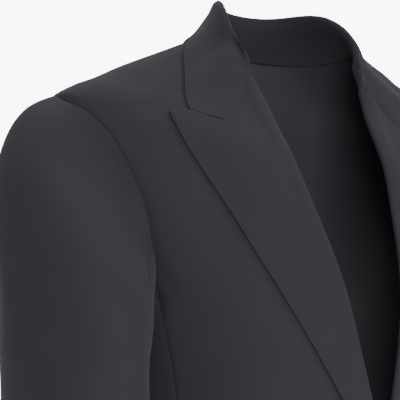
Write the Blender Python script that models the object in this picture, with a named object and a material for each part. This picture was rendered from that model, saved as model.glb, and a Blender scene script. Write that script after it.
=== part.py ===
"""Two-piece business suit in its worn, hollow shape: a jacket with peak lapels, and trousers.

Metres, +Z up. The wearer faces -Y, and the wearer's left is +X. The origin lies between the
two points where the shoulder seams meet the neck, which is where the wearer holds it up.
Every sub-part is worked out on its own side, with x positive, and then put left or right.
"""
import math

import bmesh
import bpy
import numpy as np

LEFT = 1
RIGHT = -1
SIDE_NAMES = {LEFT: "left", RIGHT: "right"}

# Cloth walls and the small gaps between pieces
WALL = 0.0020
LAPEL_WALL = 0.0018
SEAM_HALF_GAP = 0.00015
SEAT_GAP = 0.0003

# The jacket's body surface: one row for each level, from hem to neck
BODY_COLUMNS = (
    "z_front", "z_side", "z_back", "half_width", "y_side",
    "front_depth", "back_depth", "front_power", "back_power",
)
BODY_LEVELS = np.array([
    [-0.735, -0.722, -0.715, 0.212, 0.005, 0.146, 0.146, 2.3, 2.4],  # 0 hem
    [-0.620, -0.620, -0.620, 0.206, 0.005, 0.146, 0.142, 2.3, 2.4],  # 1 hip
    [-0.520, -0.520, -0.520, 0.186, 0.005, 0.147, 0.120, 2.3, 2.3],  # 2 pocket flaps
    [-0.430, -0.430, -0.430, 0.171, 0.006, 0.149, 0.104, 2.3, 2.3],  # 3 waist
    [-0.330, -0.330, -0.330, 0.174, 0.008, 0.150, 0.112, 2.4, 2.5],  # 4 ribs
    [-0.245, -0.245, -0.245, 0.187, 0.010, 0.144, 0.120, 2.5, 2.8],  # 5 chest
    [-0.175, -0.160, -0.165, 0.209, 0.012, 0.122, 0.116, 2.6, 3.0],  # 6 mid armhole
    [-0.128, -0.092, -0.108, 0.225, 0.014, 0.103, 0.107, 2.4, 2.8],  # 7 upper armhole
    [-0.102, -0.053, -0.066, 0.226, 0.015, 0.088, 0.098, 2.2, 2.5],  # 8 shoulder end
    [-0.086, -0.034, -0.035, 0.190, 0.011, 0.078, 0.090, 2.1, 2.3],  # 9
    [-0.071, -0.013, -0.010, 0.150, 0.007, 0.069, 0.083, 2.0, 2.2],  # 10
    [-0.056, 0.005, 0.008, 0.110, 0.003, 0.061, 0.077, 2.0, 2.1],  # 11
    [-0.040, 0.020, 0.024, 0.080, 0.000, 0.055, 0.070, 2.0, 2.0],  # 12 neck seam
])
NECK_LEVEL = 12.0

# Levels of the rows below the armhole, up the armhole, and over the shoulder
LOW_LEVELS = (0.0, 0.12, 0.3, 0.6, 1.0, 1.5, 2.0, 2.45, 2.75, 3.1, 3.5, 4.0, 4.5)
ARMHOLE_LEVELS = (5.10, 5.45, 5.85, 6.25, 6.65, 7.00, 7.30, 7.50, 7.65, 7.82, 8.00)
SHOULDER_LEVELS = (8.5, 9.0, 9.5, 10.0, 10.6, 11.2, 11.6, 12.0)

# The armhole: level, angle round the body in front, angle round the body behind
ARMHOLE = np.array([
    [5.10, 63.5, 113.0],
    [5.45, 60.0, 117.0],
    [5.85, 57.6, 119.5],
    [6.25, 57.2, 120.5],
    [6.65, 58.6, 119.5],
    [7.00, 61.2, 117.5],
    [7.30, 65.0, 114.0],
    [7.50, 69.0, 110.5],
    [7.65, 75.0, 106.0],
    [7.82, 82.5, 99.0],
    [8.00, 90.0, 90.0],
])
# The bottom of the armhole: angle, level
ARMHOLE_BOTTOM = np.array([
    [63.5, 5.10],
    [75.0, 4.84],
    [88.0, 4.72],
    [101.0, 4.83],
    [113.0, 5.10],
])
# The side seams below it: level, angle in front, angle behind
SIDE_SEAMS = np.array([
    [0.0, 60.0, 116.0],
    [3.0, 62.0, 114.0],
    [5.1, 63.5, 113.0],
])

# The front edge: level, x; a negative x laps over the middle
FRONT_EDGE = np.array([
    [0.00, 0.075],
    [0.12, 0.040],
    [0.30, 0.017],
    [0.60, -0.002],
    [1.00, -0.012],
    [1.50, -0.017],
    [2.00, -0.018],
    [2.50, -0.018],
])
# The visible roll of the lapel above it: level, x
ROLL_LINE = np.array([
    [2.75, -0.0145],
    [3.00, -0.0095],
    [3.50, 0.0010],
    [3.90, 0.0100],
    [4.23, 0.0160],
    [4.62, 0.0235],
    [5.15, 0.0305],
    [5.85, 0.0382],
    [6.62, 0.0448],
    [8.15, 0.0495],
    [9.93, 0.0515],
    [11.35, 0.0568],
    [12.00, 0.0600],
])
BREAK_LEVEL = 2.75
FOLD_RADIUS = 0.0024
FOLD_START = 0.0015
FOLD_TURNS = (-90.0, -30.0, 30.0, 90.0)
SECTION_POINTS = 2 + len(FOLD_TURNS)
STAND_MIDDLE = 0.55
ROLL_REACH = FOLD_START + FOLD_RADIUS + LAPEL_WALL / 2

# Small steps along the cloth that give a direction on it
ANGLE_STEP = 0.01
LEVEL_STEP = 0.05

# How far the left front lies over the right one, and where that eases off
LAP_LIFT = 0.0028
LAP_FULL_X = 0.030
LAP_NONE_X = 0.080
LAP_FULL_Z = -0.400
LAP_NONE_Z = -0.335

# The lapel's outer edge from the break up to its peak: x, z
LAPEL_EDGE = np.array([
    [-0.0130, -0.455],
    [0.0020, -0.415],
    [0.0385, -0.342],
    [0.0700, -0.284],
    [0.1000, -0.224],
    [0.1240, -0.166],
    [0.1400, -0.131],
    [0.1497, -0.104],
    [0.1535, -0.0795],
])
# The lapel's top edge past its roll: share of the lapel's width, x, z. It follows the gorge
# seam down, then the open slit out to the notch, then the peak
LAPEL_TOP = np.array([
    [0.15, 0.0725, -0.0510],
    [0.30, 0.0870, -0.0715],
    [0.45, 0.1000, -0.0898],
    [0.62, 0.1165, -0.0845],
    [0.80, 0.1330, -0.0785],
    [1.00, 0.1535, -0.0795],
])
GORGE_LEVEL = 11.2
LAPEL_LEVELS = (2.75, 3.1, 3.5, 4.0, 4.5, 5.10, 5.45, 5.85, 6.65, 7.30, 8.00, 9.0, 10.0, 10.6)
RIGHT_LAPEL_FIRST = 2
GORGE_ACROSS = np.array([0.5, 0.0, 0.87])
GORGE_HALF_GAP = 0.00035
TOP_SHAPE_FROM = 0.45
LAPEL_EDGE_HEIGHT = 0.0034
LAPEL_LEAST_WIDTH = 0.004

# The collar past the gorge, round to the nape: where its seam is (level, share of the neck
# seam), the top of its fold (x, y, z), and where the edge of its fall lies (level, angle)
COLLAR = np.array([
    [11.60, 0.0, 0.0605, -0.0465, -0.012, 8.94, 42.2],
    [12.00, 0.0, 0.0645, -0.0410, 0.001, 9.45, 47.3],
    [12.00, 2 / 9, 0.0660, -0.0320, 0.0155, 9.95, 53.2],
    [12.00, 4 / 9, 0.0645, -0.0220, 0.030, 10.42, 61.3],
    [12.00, 6 / 9, 0.0605, -0.0110, 0.042, 10.90, 72.5],
    [12.00, 1.0, 0.0550, 0.0010, 0.052, 11.48, 88.0],
    [12.00, 1.25, 0.0440, 0.0240, 0.060, 11.60, 112.0],
    [12.00, 1.50, 0.0330, 0.0400, 0.0615, 11.58, 136.0],
    [12.00, 1.75, 0.0180, 0.0495, 0.0615, 11.56, 158.0],
    [12.00, 2.0, 0.0000, 0.0525, 0.0615, 11.55, 180.0],
])
COLLAR_SEAM_GAP = 0.0006
COLLAR_EDGE_HEIGHT = 0.0030
# How far the fall hangs in towards the shoulder half way down it, along the neck seam
COLLAR_SAG_SHARES = (0.0, 2 / 9, 6 / 9, 1.25)
COLLAR_SAGS = (0.0, 0.0060, 0.0060, 0.0030)
COLLAR_FALL_COLUMNS = (0.16, 0.36, 0.58, 0.79, 1.0)

# The sleeve below its cap: z, centre x, centre y, half width in x, half width in y
SLEEVE_RINGS = np.array([
    [-0.285, 0.2370, -0.040, 0.0570, 0.0870],
    [-0.350, 0.2405, -0.047, 0.0582, 0.0835],
    [-0.420, 0.2450, -0.052, 0.0573, 0.0780],
    [-0.500, 0.2520, -0.066, 0.0560, 0.0700],
    [-0.580, 0.2540, -0.086, 0.0525, 0.0625],
    [-0.655, 0.2520, -0.108, 0.0490, 0.0570],
])
CAP_STEPS = (0.0, 0.06, 0.15, 0.26, 0.38, 0.52, 0.68, 0.84, 1.0)
CAP_TOP_Z = -0.12
CAP_LOW_Z = -0.25
CROWN_TOP_Z = -0.058
CROWN_LOW_Z = -0.130
CROWN_OUTWARD = 0.6
CAP_PULL = 0.045
CAP_PULL_HIGH = 0.40
CAP_PULL_CROWN = 0.42
ARM_PULL = 0.030
ARM_PULL_SPAN = 0.85
SLEEVE_FRONT_SEAM = 9
SLEEVE_BACK_SEAM = 19

# Pockets and buttons
WELT_LEVELS = (5.42, 5.14)
WELT_ANGLES = (21.0, 25.0, 29.5, 34.0, 38.5, 43.0)
WELT_SLANT = 0.12
WELT_WALL = 0.0010
FLAP_TOP_LEVEL = 2.02
FLAP_DROPS = (0.0, 0.18, 0.36, 0.52)
FLAP_ANGLES = (24.0, 74.0)
FLAP_COLUMNS = 11
FLAP_CORNER = 0.82
FLAP_WALL = 0.0016
FLAP_SEAT = 0.0008
FRONT_BUTTON_Z = (-0.469, -0.579)
FRONT_BUTTON_RADIUS = 0.0100
FRONT_BUTTON_HEIGHT = 0.0036
CUFF_BUTTON_RADIUS = 0.0074
CUFF_BUTTON_HEIGHT = 0.0030
CUFF_BUTTON_FIRST_Z = -0.620
CUFF_BUTTON_PITCH = 0.0160
CUFF_BUTTON_COUNT = 4
BUTTON_SIDES = 12

# The trousers above the fork: z, half width, front depth, back depth, share of the leg
# section; then each leg: centre x, centre y, half width, front depth, back depth
TROUSER_COLUMNS = (
    "z", "half_width", "front_depth", "back_depth", "fork",
    "leg_x", "leg_y", "leg_half_width", "leg_front", "leg_back",
)
TROUSERS = np.array([
    [-0.480, 0.1620, 0.1380, 0.1000, 0.00, 0.092, 0.000, 0.0916, 0.118, 0.112],
    [-0.540, 0.1820, 0.1400, 0.1160, 0.00, 0.092, 0.000, 0.0918, 0.118, 0.114],
    [-0.600, 0.1992, 0.1400, 0.1310, 0.04, 0.094, 0.002, 0.0936, 0.120, 0.118],
    [-0.650, 0.2020, 0.1380, 0.1340, 0.22, 0.096, 0.004, 0.0956, 0.118, 0.122],
    [-0.685, 0.2020, 0.1340, 0.1320, 0.62, 0.097, 0.006, 0.0966, 0.114, 0.120],
    [-0.705, 0.2010, 0.1320, 0.1300, 1.00, 0.0975, 0.007, 0.0970, 0.110, 0.118],
    [-0.780, 0.1900, 0.1200, 0.1200, 1.00, 0.0990, 0.006, 0.0910, 0.100, 0.108],
    [-0.880, 0.1800, 0.1100, 0.1100, 1.00, 0.1010, 0.003, 0.0820, 0.090, 0.096],
    [-1.000, 0.1800, 0.1100, 0.1100, 1.00, 0.1030, 0.000, 0.0730, 0.082, 0.086],
    [-1.150, 0.1800, 0.1100, 0.1100, 1.00, 0.1050, 0.004, 0.0660, 0.078, 0.080],
    [-1.320, 0.1800, 0.1100, 0.1100, 1.00, 0.1065, 0.006, 0.0600, 0.077, 0.077],
    [-1.460, 0.1800, 0.1100, 0.1100, 1.00, 0.1080, 0.004, 0.0570, 0.080, 0.074],
])
TROUSER_SIDE_Y = 0.005
TROUSER_STEPS = 9
LEG_POWER = 1.8
HIP_POWER = 2.3
WAISTBAND_TOP = -0.440
WAISTBAND_DROP = SEAT_GAP
WAISTBAND_LEAN = 0.99
WAISTBAND_STEPS = 32

COLOURS = {
    "wool": ((0.038, 0.037, 0.046, 1.0), 0.82),
    "trouser_wool": ((0.036, 0.035, 0.044, 1.0), 0.82),
    "button": ((0.012, 0.012, 0.014, 1.0), 0.35),
}


def hermite(values, at):
    """Smooth curve through evenly spaced values, read at the given places."""
    values = np.asarray(values, float)
    slopes = np.gradient(values)
    at = np.clip(at, 0, len(values) - 1 - 1e-9)
    k = np.floor(at).astype(int)
    f = at - k
    start = (2 * f**3 - 3 * f**2 + 1) * values[k] + (f**3 - 2 * f**2 + f) * slopes[k]
    end = (3 * f**2 - 2 * f**3) * values[k + 1] + (f**3 - f**2) * slopes[k + 1]
    return start + end


def through(table, at, column=1):
    """Smooth curve through a table's column over its first column, read at the given places."""
    xs = table[:, 0]
    ys = table[:, column]
    slopes = np.gradient(ys, xs)
    at = np.clip(at, xs[0], xs[-1])
    k = np.clip(np.searchsorted(xs, at, side="right") - 1, 0, len(xs) - 2)
    width = xs[k + 1] - xs[k]
    f = (at - xs[k]) / width
    start = (2 * f**3 - 3 * f**2 + 1) * ys[k] + (f**3 - 2 * f**2 + f) * slopes[k] * width
    end = (3 * f**2 - 2 * f**3) * ys[k + 1] + (f**3 - f**2) * slopes[k + 1] * width
    return start + end


def ease(low, high, value):
    """0 at low and 1 at high, with soft ends."""
    f = np.clip((value - low) / (high - low), 0.0, 1.0)
    return f * f * (3 - 2 * f)


def unit(vectors):
    return vectors / np.maximum(np.linalg.norm(vectors, axis=-1, keepdims=True), 1e-12)


def body_row(level):
    """The body surface's named measures at a level."""
    return {name: hermite(BODY_LEVELS[:, i], level) for i, name in enumerate(BODY_COLUMNS)}


def body_point(angle, level):
    """A point of the body surface: angle 0 in front, 90 degrees at the side, 180 behind."""
    angle, level = np.broadcast_arrays(np.asarray(angle, float), np.asarray(level, float))
    row = body_row(level)
    c = np.cos(angle)
    s = np.sin(angle)
    front = c >= 0
    power = np.where(front, row["front_power"], row["back_power"])
    depth = np.where(front, row["front_depth"] + row["y_side"], row["back_depth"] - row["y_side"])
    z_middle = np.where(front, row["z_front"], row["z_back"])
    across = np.abs(c) ** (2 / power)
    x = row["half_width"] * np.abs(s) ** (2 / power) * np.sign(s)
    y = row["y_side"] - np.sign(c) * depth * across
    z = row["z_side"] + (z_middle - row["z_side"]) * across**2
    return np.stack([x, y, z], -1)


def body_normal(angle, level, step=1e-4):
    """The outward direction of the body surface."""
    level = np.asarray(level, float)
    round_body = body_point(angle + step, level) - body_point(angle - step, level)
    up_body = body_point(angle, np.minimum(level + step, NECK_LEVEL))
    up_body = up_body - body_point(angle, np.maximum(level - step, 0.0))
    return unit(np.cross(round_body, up_body))


def lap_lift(points, side):
    """How far the left side stands off the body surface where it laps over the right one."""
    if side == RIGHT:
        return np.zeros(points.shape[:-1])
    by_x = ease(LAP_NONE_X, LAP_FULL_X, points[..., 0])
    by_z = ease(LAP_NONE_Z, LAP_FULL_Z, points[..., 2])
    return LAP_LIFT * by_x * by_z


def cloth_point(angle, level, side, height=0.0):
    """A point of the jacket's outer side, or one above it, and its outward direction."""
    points = body_point(angle, level)
    normals = body_normal(angle, level)
    rise = lap_lift(points, side) + height
    return points + normals * np.asarray(rise)[..., None], normals


def angle_at(x, level):
    """The angle in front of the body where x is reached at a level."""
    row = body_row(np.asarray(level, float))
    share = np.clip(np.abs(x) / row["half_width"], 0.0, 1.0)
    return np.sign(x) * np.arcsin(share ** (row["front_power"] / 2))


SEARCH_ANGLES = np.radians(np.linspace(-10, 180, 96))
SEARCH_LEVELS = np.linspace(0, NECK_LEVEL, 121)
SEARCH_GRID = np.meshgrid(SEARCH_ANGLES, SEARCH_LEVELS, indexing="ij")
SEARCH_POINTS = body_point(*SEARCH_GRID)
SEARCH_OFFSETS = np.linspace(-1, 1, 9)
SEARCH_ROUNDS = 7
HALVINGS = 40


def nearest_on_body(point):
    """The angle and level of the body surface's point nearest to a given one."""
    gaps = ((SEARCH_POINTS - point) ** 2).sum(-1)
    i, j = np.unravel_index(np.argmin(gaps), gaps.shape)
    angle = SEARCH_ANGLES[i]
    level = SEARCH_LEVELS[j]
    angle_step = SEARCH_ANGLES[1] - SEARCH_ANGLES[0]
    level_step = SEARCH_LEVELS[1] - SEARCH_LEVELS[0]
    for _ in range(SEARCH_ROUNDS):
        angles = angle + angle_step * SEARCH_OFFSETS
        levels = np.clip(level + level_step * SEARCH_OFFSETS, 0, NECK_LEVEL)
        near = np.meshgrid(angles, levels, indexing="ij")
        gaps = ((body_point(*near) - point) ** 2).sum(-1)
        i, j = np.unravel_index(np.argmin(gaps), gaps.shape)
        angle = angles[i]
        level = levels[j]
        angle_step /= 3
        level_step /= 3
    return angle, level


def front_place(x, z):
    """The angle and level in front of the body where x and z are reached."""
    low = 0.0
    high = NECK_LEVEL
    for _ in range(HALVINGS):
        level = (low + high) / 2
        angle = angle_at(x, level)
        if body_point(angle, level)[2] < z:
            low = level
        else:
            high = level
    return angle_at(x, level), level


def grid_normals(points, closed=False):
    """Outward directions of a grid whose rows run round and whose columns run along."""
    along = np.gradient(points, axis=0)
    if closed:
        across = np.roll(points, -1, axis=1) - np.roll(points, 1, axis=1)
    else:
        across = np.gradient(points, axis=1)
    return unit(np.cross(across, along))


def drawn_in(points, rows=(), columns=()):
    """The grid with the named border rows and columns moved in by half a seam's gap."""
    result = points.copy()
    for row in rows:
        inner = 1 if row == 0 else -2
        result[row] += unit(points[inner] - points[row]) * SEAM_HALF_GAP
    for column in columns:
        inner = 1 if column == 0 else -2
        result[:, column] += unit(points[:, inner] - points[:, column]) * SEAM_HALF_GAP
    return result


def make_material(kind):
    found = bpy.data.materials.get(kind)
    if found:
        return found
    colour, roughness = COLOURS[kind]
    material = bpy.data.materials.new(kind)
    material.use_nodes = True
    shader = material.node_tree.nodes["Principled BSDF"]
    shader.inputs["Base Color"].default_value = colour
    shader.inputs["Roughness"].default_value = roughness
    shader.inputs["Metallic"].default_value = 0.0
    return material


def add_object(name, bm, kind):
    bmesh.ops.recalc_face_normals(bm, faces=bm.faces[:])
    mesh = bpy.data.meshes.new(name)
    bm.to_mesh(mesh)
    bm.free()
    mesh.materials.append(make_material(kind))
    mesh.shade_smooth()
    mesh.set_sharp_from_angle(angle=math.radians(40))
    piece = bpy.data.objects.new(name, mesh)
    bpy.context.scene.collection.objects.link(piece)
    return piece


def cloth_wall(name, outer, normals, side, wall=WALL, kind="wool"):
    """A closed cloth wall: the grid of outer points, extruded inwards along the normals."""
    mirror = np.array([side, 1.0, 1.0])
    outer_points = (outer * mirror).reshape(-1, 3)
    inner_points = ((outer - normals * wall) * mirror).reshape(-1, 3)
    rows, columns = outer.shape[:2]
    bm = bmesh.new()
    number = bm.verts.layers.int.new("number")
    verts = [bm.verts.new(point) for point in outer_points]
    for index, vert in enumerate(verts):
        vert[number] = index
    for i in range(rows - 1):
        for j in range(columns - 1):
            a = i * columns + j
            bm.faces.new((verts[a], verts[a + 1], verts[a + columns + 1], verts[a + columns]))
    extruded = bmesh.ops.extrude_face_region(bm, geom=bm.faces[:])
    for item in extruded["geom"]:
        if isinstance(item, bmesh.types.BMVert):
            item.co = inner_points[item[number]]
    return add_object(name, bm, kind)


def jacket_levels():
    return np.array(LOW_LEVELS + ARMHOLE_LEVELS + SHOULDER_LEVELS)


def panel_edge_x(level):
    """x of the front panel's free edge: the front edge low down, then inside the roll."""
    if level < BREAK_LEVEL:
        return through(FRONT_EDGE, level)
    return through(ROLL_LINE, level) + ROLL_REACH


def outer_angle(level, behind):
    """The angle of the side seam, the armhole or the shoulder seam at a level."""
    column = 2 if behind else 1
    if level >= ARMHOLE_LEVELS[-1]:
        return math.radians(90)
    if level >= ARMHOLE_LEVELS[0]:
        return math.radians(np.interp(level, ARMHOLE[:, 0], ARMHOLE[:, column]))
    return math.radians(through(SIDE_SEAMS, level, column))


def make_front(side):
    levels = jacket_levels()
    steps = np.linspace(0, 1, 10)
    inner = np.array([float(angle_at(panel_edge_x(level), level)) for level in levels])
    outer = np.array([outer_angle(level, behind=False) for level in levels])
    angles = inner[:, None] + (outer - inner)[:, None] * steps
    points, normals = cloth_point(angles, levels[:, None], side)
    points = drawn_in(points, columns=(-1,))
    return cloth_wall("front_" + SIDE_NAMES[side], points, normals, side)


def make_back(side):
    levels = jacket_levels()
    steps = np.linspace(0, 1, 9)
    outer = np.array([outer_angle(level, behind=True) for level in levels])
    angles = outer[:, None] + (math.pi - outer)[:, None] * steps
    points, normals = cloth_point(angles, levels[:, None], RIGHT)
    points = drawn_in(points, columns=(0, -1))
    return cloth_wall("back_" + SIDE_NAMES[side], points, normals, side)


def make_side(side):
    low = np.array(LOW_LEVELS + ARMHOLE_LEVELS[:1])
    steps = np.linspace(0, 1, len(ARMHOLE_BOTTOM))
    front = np.array([outer_angle(level, behind=False) for level in low])
    back = np.array([outer_angle(level, behind=True) for level in low])
    angles = front[:, None] + (back - front)[:, None] * steps
    angles[-1] = np.radians(ARMHOLE_BOTTOM[:, 0])
    tops = ARMHOLE_BOTTOM[:, 1] / ARMHOLE_LEVELS[0]
    points, normals = cloth_point(angles, low[:, None] * tops, RIGHT)
    points = drawn_in(points, rows=(-1,), columns=(0, -1))
    return cloth_wall("side_" + SIDE_NAMES[side], points, normals, side)


def armhole_loop():
    """The armhole's points and outward directions, from the shoulder down the front and up."""
    down = ARMHOLE[::-1]
    places = [(angle, level) for level, angle, _ in down]
    places += [(angle, level) for angle, level in ARMHOLE_BOTTOM[1:]]
    places += [(angle, level) for level, _, angle in ARMHOLE[1:-1]]
    angles = np.radians([angle for angle, _ in places])
    levels = np.array([level for _, level in places])
    return body_point(angles, levels), body_normal(angles, levels)


def sleeve_grid():
    """The sleeve's outer points on its own side: rows down from the armhole to the cuff."""
    start, normals = armhole_loop()
    count = len(start)
    tangents = unit(np.roll(start, -1, axis=0) - np.roll(start, 1, axis=0))
    away = unit(np.cross(tangents, normals))
    inward = start.mean(axis=0) - start
    away *= np.sign((away * inward).sum(-1, keepdims=True))
    turns = 2 * np.pi * np.arange(count) / count
    round_x = np.cos(turns)
    round_y = -np.sin(turns)

    def ring(z, centre_x, centre_y, half_x, half_y):
        x = centre_x + half_x * round_x
        y = centre_y + half_y * round_y
        return np.stack([x, y, np.full(count, z)], -1)

    bicep = ring(*SLEEVE_RINGS[0])
    high = ease(CAP_LOW_Z, CAP_TOP_Z, start[:, 2])[:, None]
    crown = ease(CROWN_LOW_Z, CROWN_TOP_Z, start[:, 2])[:, None]
    sideways = np.array([1.0, 0.0, 0.0])
    lead = high * (1 - CROWN_OUTWARD * crown) * away + (1 - high) * normals + crown * sideways
    lead = unit(lead)
    span = np.linalg.norm(bicep - start, axis=-1, keepdims=True)
    start = start + lead * SEAT_GAP
    start_pull = lead * (CAP_PULL + span * (CAP_PULL_HIGH * high + CAP_PULL_CROWN * crown))
    end_pull = np.array([0.0, 0.0, -1.0]) * (ARM_PULL + ARM_PULL_SPAN * span)
    rows = []
    for f in CAP_STEPS:
        row = (2 * f**3 - 3 * f**2 + 1) * start + (f**3 - 2 * f**2 + f) * start_pull
        row = row + (3 * f**2 - 2 * f**3) * bicep + (f**3 - f**2) * end_pull
        rows.append(row)
    rows += [ring(*values) for values in SLEEVE_RINGS[1:]]
    return np.array(rows)


def sleeve_walls():
    points = sleeve_grid()
    normals = -grid_normals(points, closed=True)
    centre = points.mean(axis=1, keepdims=True)
    facing = np.sign(((points - centre) * normals).sum(-1))
    return points, normals * np.sign(facing[-1].mean())


def make_sleeve(side):
    points, normals = sleeve_walls()
    count = points.shape[1]
    under = np.arange(SLEEVE_FRONT_SEAM, SLEEVE_BACK_SEAM + 1)
    top = np.arange(SLEEVE_BACK_SEAM, SLEEVE_FRONT_SEAM + count + 1) % count
    for name, columns in (("sleeve_top_", top), ("sleeve_under_", under)):
        panel = drawn_in(points[:, columns], columns=(0, -1))
        cloth_wall(name + SIDE_NAMES[side], panel, normals[:, columns], side)


def turned_section(seam, up, out, stand):
    """The middle of a wall that leaves a seam, stands up and folds over outwards."""
    base = seam + up * stand
    centre = base + out * FOLD_RADIUS
    points = [seam + up * COLLAR_SEAM_GAP]
    points.append(seam + up * stand * STAND_MIDDLE)
    for turn in np.radians(FOLD_TURNS):
        points.append(centre + (up * math.cos(turn) + out * math.sin(turn)) * FOLD_RADIUS)
    return points


def lifted_clear(point, side, height):
    """The point, moved outwards where it is nearer than a height to the cloth below it."""
    angle, level = nearest_on_body(point)
    base, normal = cloth_point(angle, level, side)
    rise = float(((point - base) * normal).sum())
    return point + normal * max(height - rise, 0.0)


def roll_frame(level, side):
    """The seam point inside the roll, the way to the middle, and the outward direction."""
    angle = float(angle_at(panel_edge_x(level), level))
    seam, normal = cloth_point(angle, level, side, height=-WALL / 2)
    further, _ = cloth_point(angle - ANGLE_STEP, level, side, height=-WALL / 2)
    toward = unit(further - seam)
    out = unit(normal - toward * (normal * toward).sum())
    return seam, toward, out


def edge_height(share, last):
    """Height of a lapel's middle over the cloth, from its roll to its outer edge."""
    first = 2 * FOLD_RADIUS - WALL / 2
    return first + (last - first) * ease(0.0, 1.0, share)


def gorge_row(side, step):
    """The section along the lapel's top edge, moved a little across the seam there."""
    seam, toward, out = roll_frame(GORGE_LEVEL, side)
    along = unit(seam - roll_frame(LAPEL_LEVELS[-1], side)[0])
    shift = GORGE_ACROSS * step
    row = [point + along * step for point in turned_section(seam, toward, out, FOLD_START)]
    for share, x, z in LAPEL_TOP:
        angle, level = front_place(x + shift[0], z + shift[2])
        point, _ = cloth_point(angle, level, side, height=edge_height(share, LAPEL_EDGE_HEIGHT))
        row.append(point)
    return row


def lapel_row(level, side):
    """The section across the lapel from a level of its roll to its outer edge."""
    last_seam, last_toward, last_out = roll_frame(GORGE_LEVEL, side)
    last_start = turned_section(last_seam, last_toward, last_out, FOLD_START)[-1]
    seam, toward, out = roll_frame(level, side)
    row = turned_section(seam, toward, out, FOLD_START)
    start = row[-1]
    first_z, last_z = LAPEL_EDGE[0, 1], LAPEL_EDGE[-1, 1]
    step = (start[2] - first_z) / (last_start[2] - first_z)
    edge_z = first_z + (last_z - first_z) * max(step, 0.0)
    edge_x = max(float(through(LAPEL_EDGE[:, ::-1], edge_z)), start[0] + LAPEL_LEAST_WIDTH)
    bend = ease(TOP_SHAPE_FROM, 1.0, step)
    for share, top_x, top_z in LAPEL_TOP:
        x = start[0] + (edge_x - start[0]) * share
        z = start[2] + (edge_z - start[2]) * share
        x += bend * (top_x - last_start[0] - (LAPEL_EDGE[-1, 0] - last_start[0]) * share)
        z += bend * (top_z - last_start[2] - (last_z - last_start[2]) * share)
        angle, place = front_place(x, z)
        height = edge_height(share, LAPEL_EDGE_HEIGHT)
        point, _ = cloth_point(angle, place, side, height=height)
        row.append(point)
    return row


def gorge_normals():
    """Directions along the gorge seam, shared by the lapel and the collar that meet there."""
    kept = len(COLLAR_FALL_COLUMNS) + SECTION_POINTS
    rows = [lapel_row(LAPEL_LEVELS[-1], RIGHT)[:kept]]
    rows.append(gorge_row(RIGHT, 0.0)[:kept])
    rows.append(collar_section(COLLAR[0], RIGHT))
    return outward(np.array(rows), row=1, column=-2)[1]


def make_lapel(side):
    first = 0 if side == LEFT else RIGHT_LAPEL_FIRST
    rows = [lapel_row(level, side) for level in LAPEL_LEVELS[first:]]
    rows.append(gorge_row(side, -GORGE_HALF_GAP))
    middle = np.array(rows)
    normals = outward(middle, row=len(rows) // 2, column=-2)
    shared = gorge_normals()
    normals[-1, :len(shared)] = shared
    outer = middle + normals * LAPEL_WALL / 2
    return cloth_wall("lapel_" + SIDE_NAMES[side], outer, normals, side, wall=LAPEL_WALL)


def outward(points, row, column):
    """Grid directions, all turned so that the one at a visible place faces out in front."""
    normals = grid_normals(points)
    if normals[row, column, 1] > 0:
        normals = -normals
    return normals


def neck_angle(share):
    """The angle along the neck seam: 0 at the roll, 1 at the shoulder, 2 at the nape."""
    first = float(angle_at(panel_edge_x(NECK_LEVEL), NECK_LEVEL))
    return float(np.interp(share, (0, 1, 2), (first, math.pi / 2, math.pi)))


def collar_section(values, side):
    """One section of the collar, from its seam over its fold to the edge of its fall."""
    level, share, fold_x, fold_y, fold_z, edge_level, edge_angle = values
    if level < NECK_LEVEL:
        seam, away, normal = roll_frame(level, side)
    else:
        angle = neck_angle(share)
        seam, normal = cloth_point(angle, level, side, height=-WALL / 2)
        lower, _ = cloth_point(angle, level - LEVEL_STEP, side, height=-WALL / 2)
        away = unit(seam - lower)
        if share == 0.0:
            away = unit(away + roll_frame(level, side)[1])
    rise = np.array([fold_x, fold_y, fold_z]) - seam
    sideways = abs(float((unit(rise) * normal).sum()))
    seam = seam + away * (COLLAR_SEAM_GAP + LAPEL_WALL / 2 * sideways)
    rise = np.array([fold_x, fold_y, fold_z]) - seam
    up = unit(rise)
    out = unit(normal - up * (normal * up).sum())
    stand = max(float(np.linalg.norm(rise)) - FOLD_RADIUS, FOLD_START)
    row = turned_section(seam, up, out, stand)
    start = row[-1]
    edge, off = cloth_point(math.radians(edge_angle), edge_level, side, height=COLLAR_EDGE_HEIGHT)
    fall = unit(edge - start)
    inward = -unit(off - fall * (off * fall).sum())
    sag = float(np.interp(share, COLLAR_SAG_SHARES, COLLAR_SAGS))
    for step in COLLAR_FALL_COLUMNS:
        point = start + (edge - start) * step + inward * sag * 4 * step * (1 - step)
        row.append(lifted_clear(point, side, edge_height(step, COLLAR_EDGE_HEIGHT)))
    return row


def collar_half():
    """Half of the collar, from the gorge to the nape, on its own side."""
    kept = len(COLLAR_FALL_COLUMNS) + SECTION_POINTS
    rows = [gorge_row(RIGHT, GORGE_HALF_GAP)[:kept]]
    for values in COLLAR:
        rows.append(collar_section(values, RIGHT))
    return np.array(rows)


def make_collar():
    half = collar_half()
    mirror = np.array([-1.0, 1.0, 1.0])
    middle = np.concatenate([half, (half * mirror)[-2::-1]])
    normals = outward(middle, row=1, column=-2)
    normals[0] = gorge_normals()
    normals[-1] = normals[0] * mirror
    outer = middle + normals * LAPEL_WALL / 2
    return cloth_wall("collar", outer, normals, LEFT, wall=LAPEL_WALL)


def make_breast_welt():
    """The breast pocket's welt, on the wearer's left, with its outer end a little higher."""
    angles = np.radians(WELT_ANGLES)
    slant = WELT_SLANT * np.linspace(-0.5, 0.5, len(angles))
    levels = np.array(WELT_LEVELS)[:, None] + slant
    height = WELT_WALL + SEAT_GAP
    points, normals = cloth_point(np.broadcast_to(angles, levels.shape), levels, LEFT, height)
    return cloth_wall("breast_welt", points, normals, LEFT, wall=WELT_WALL)


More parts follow.
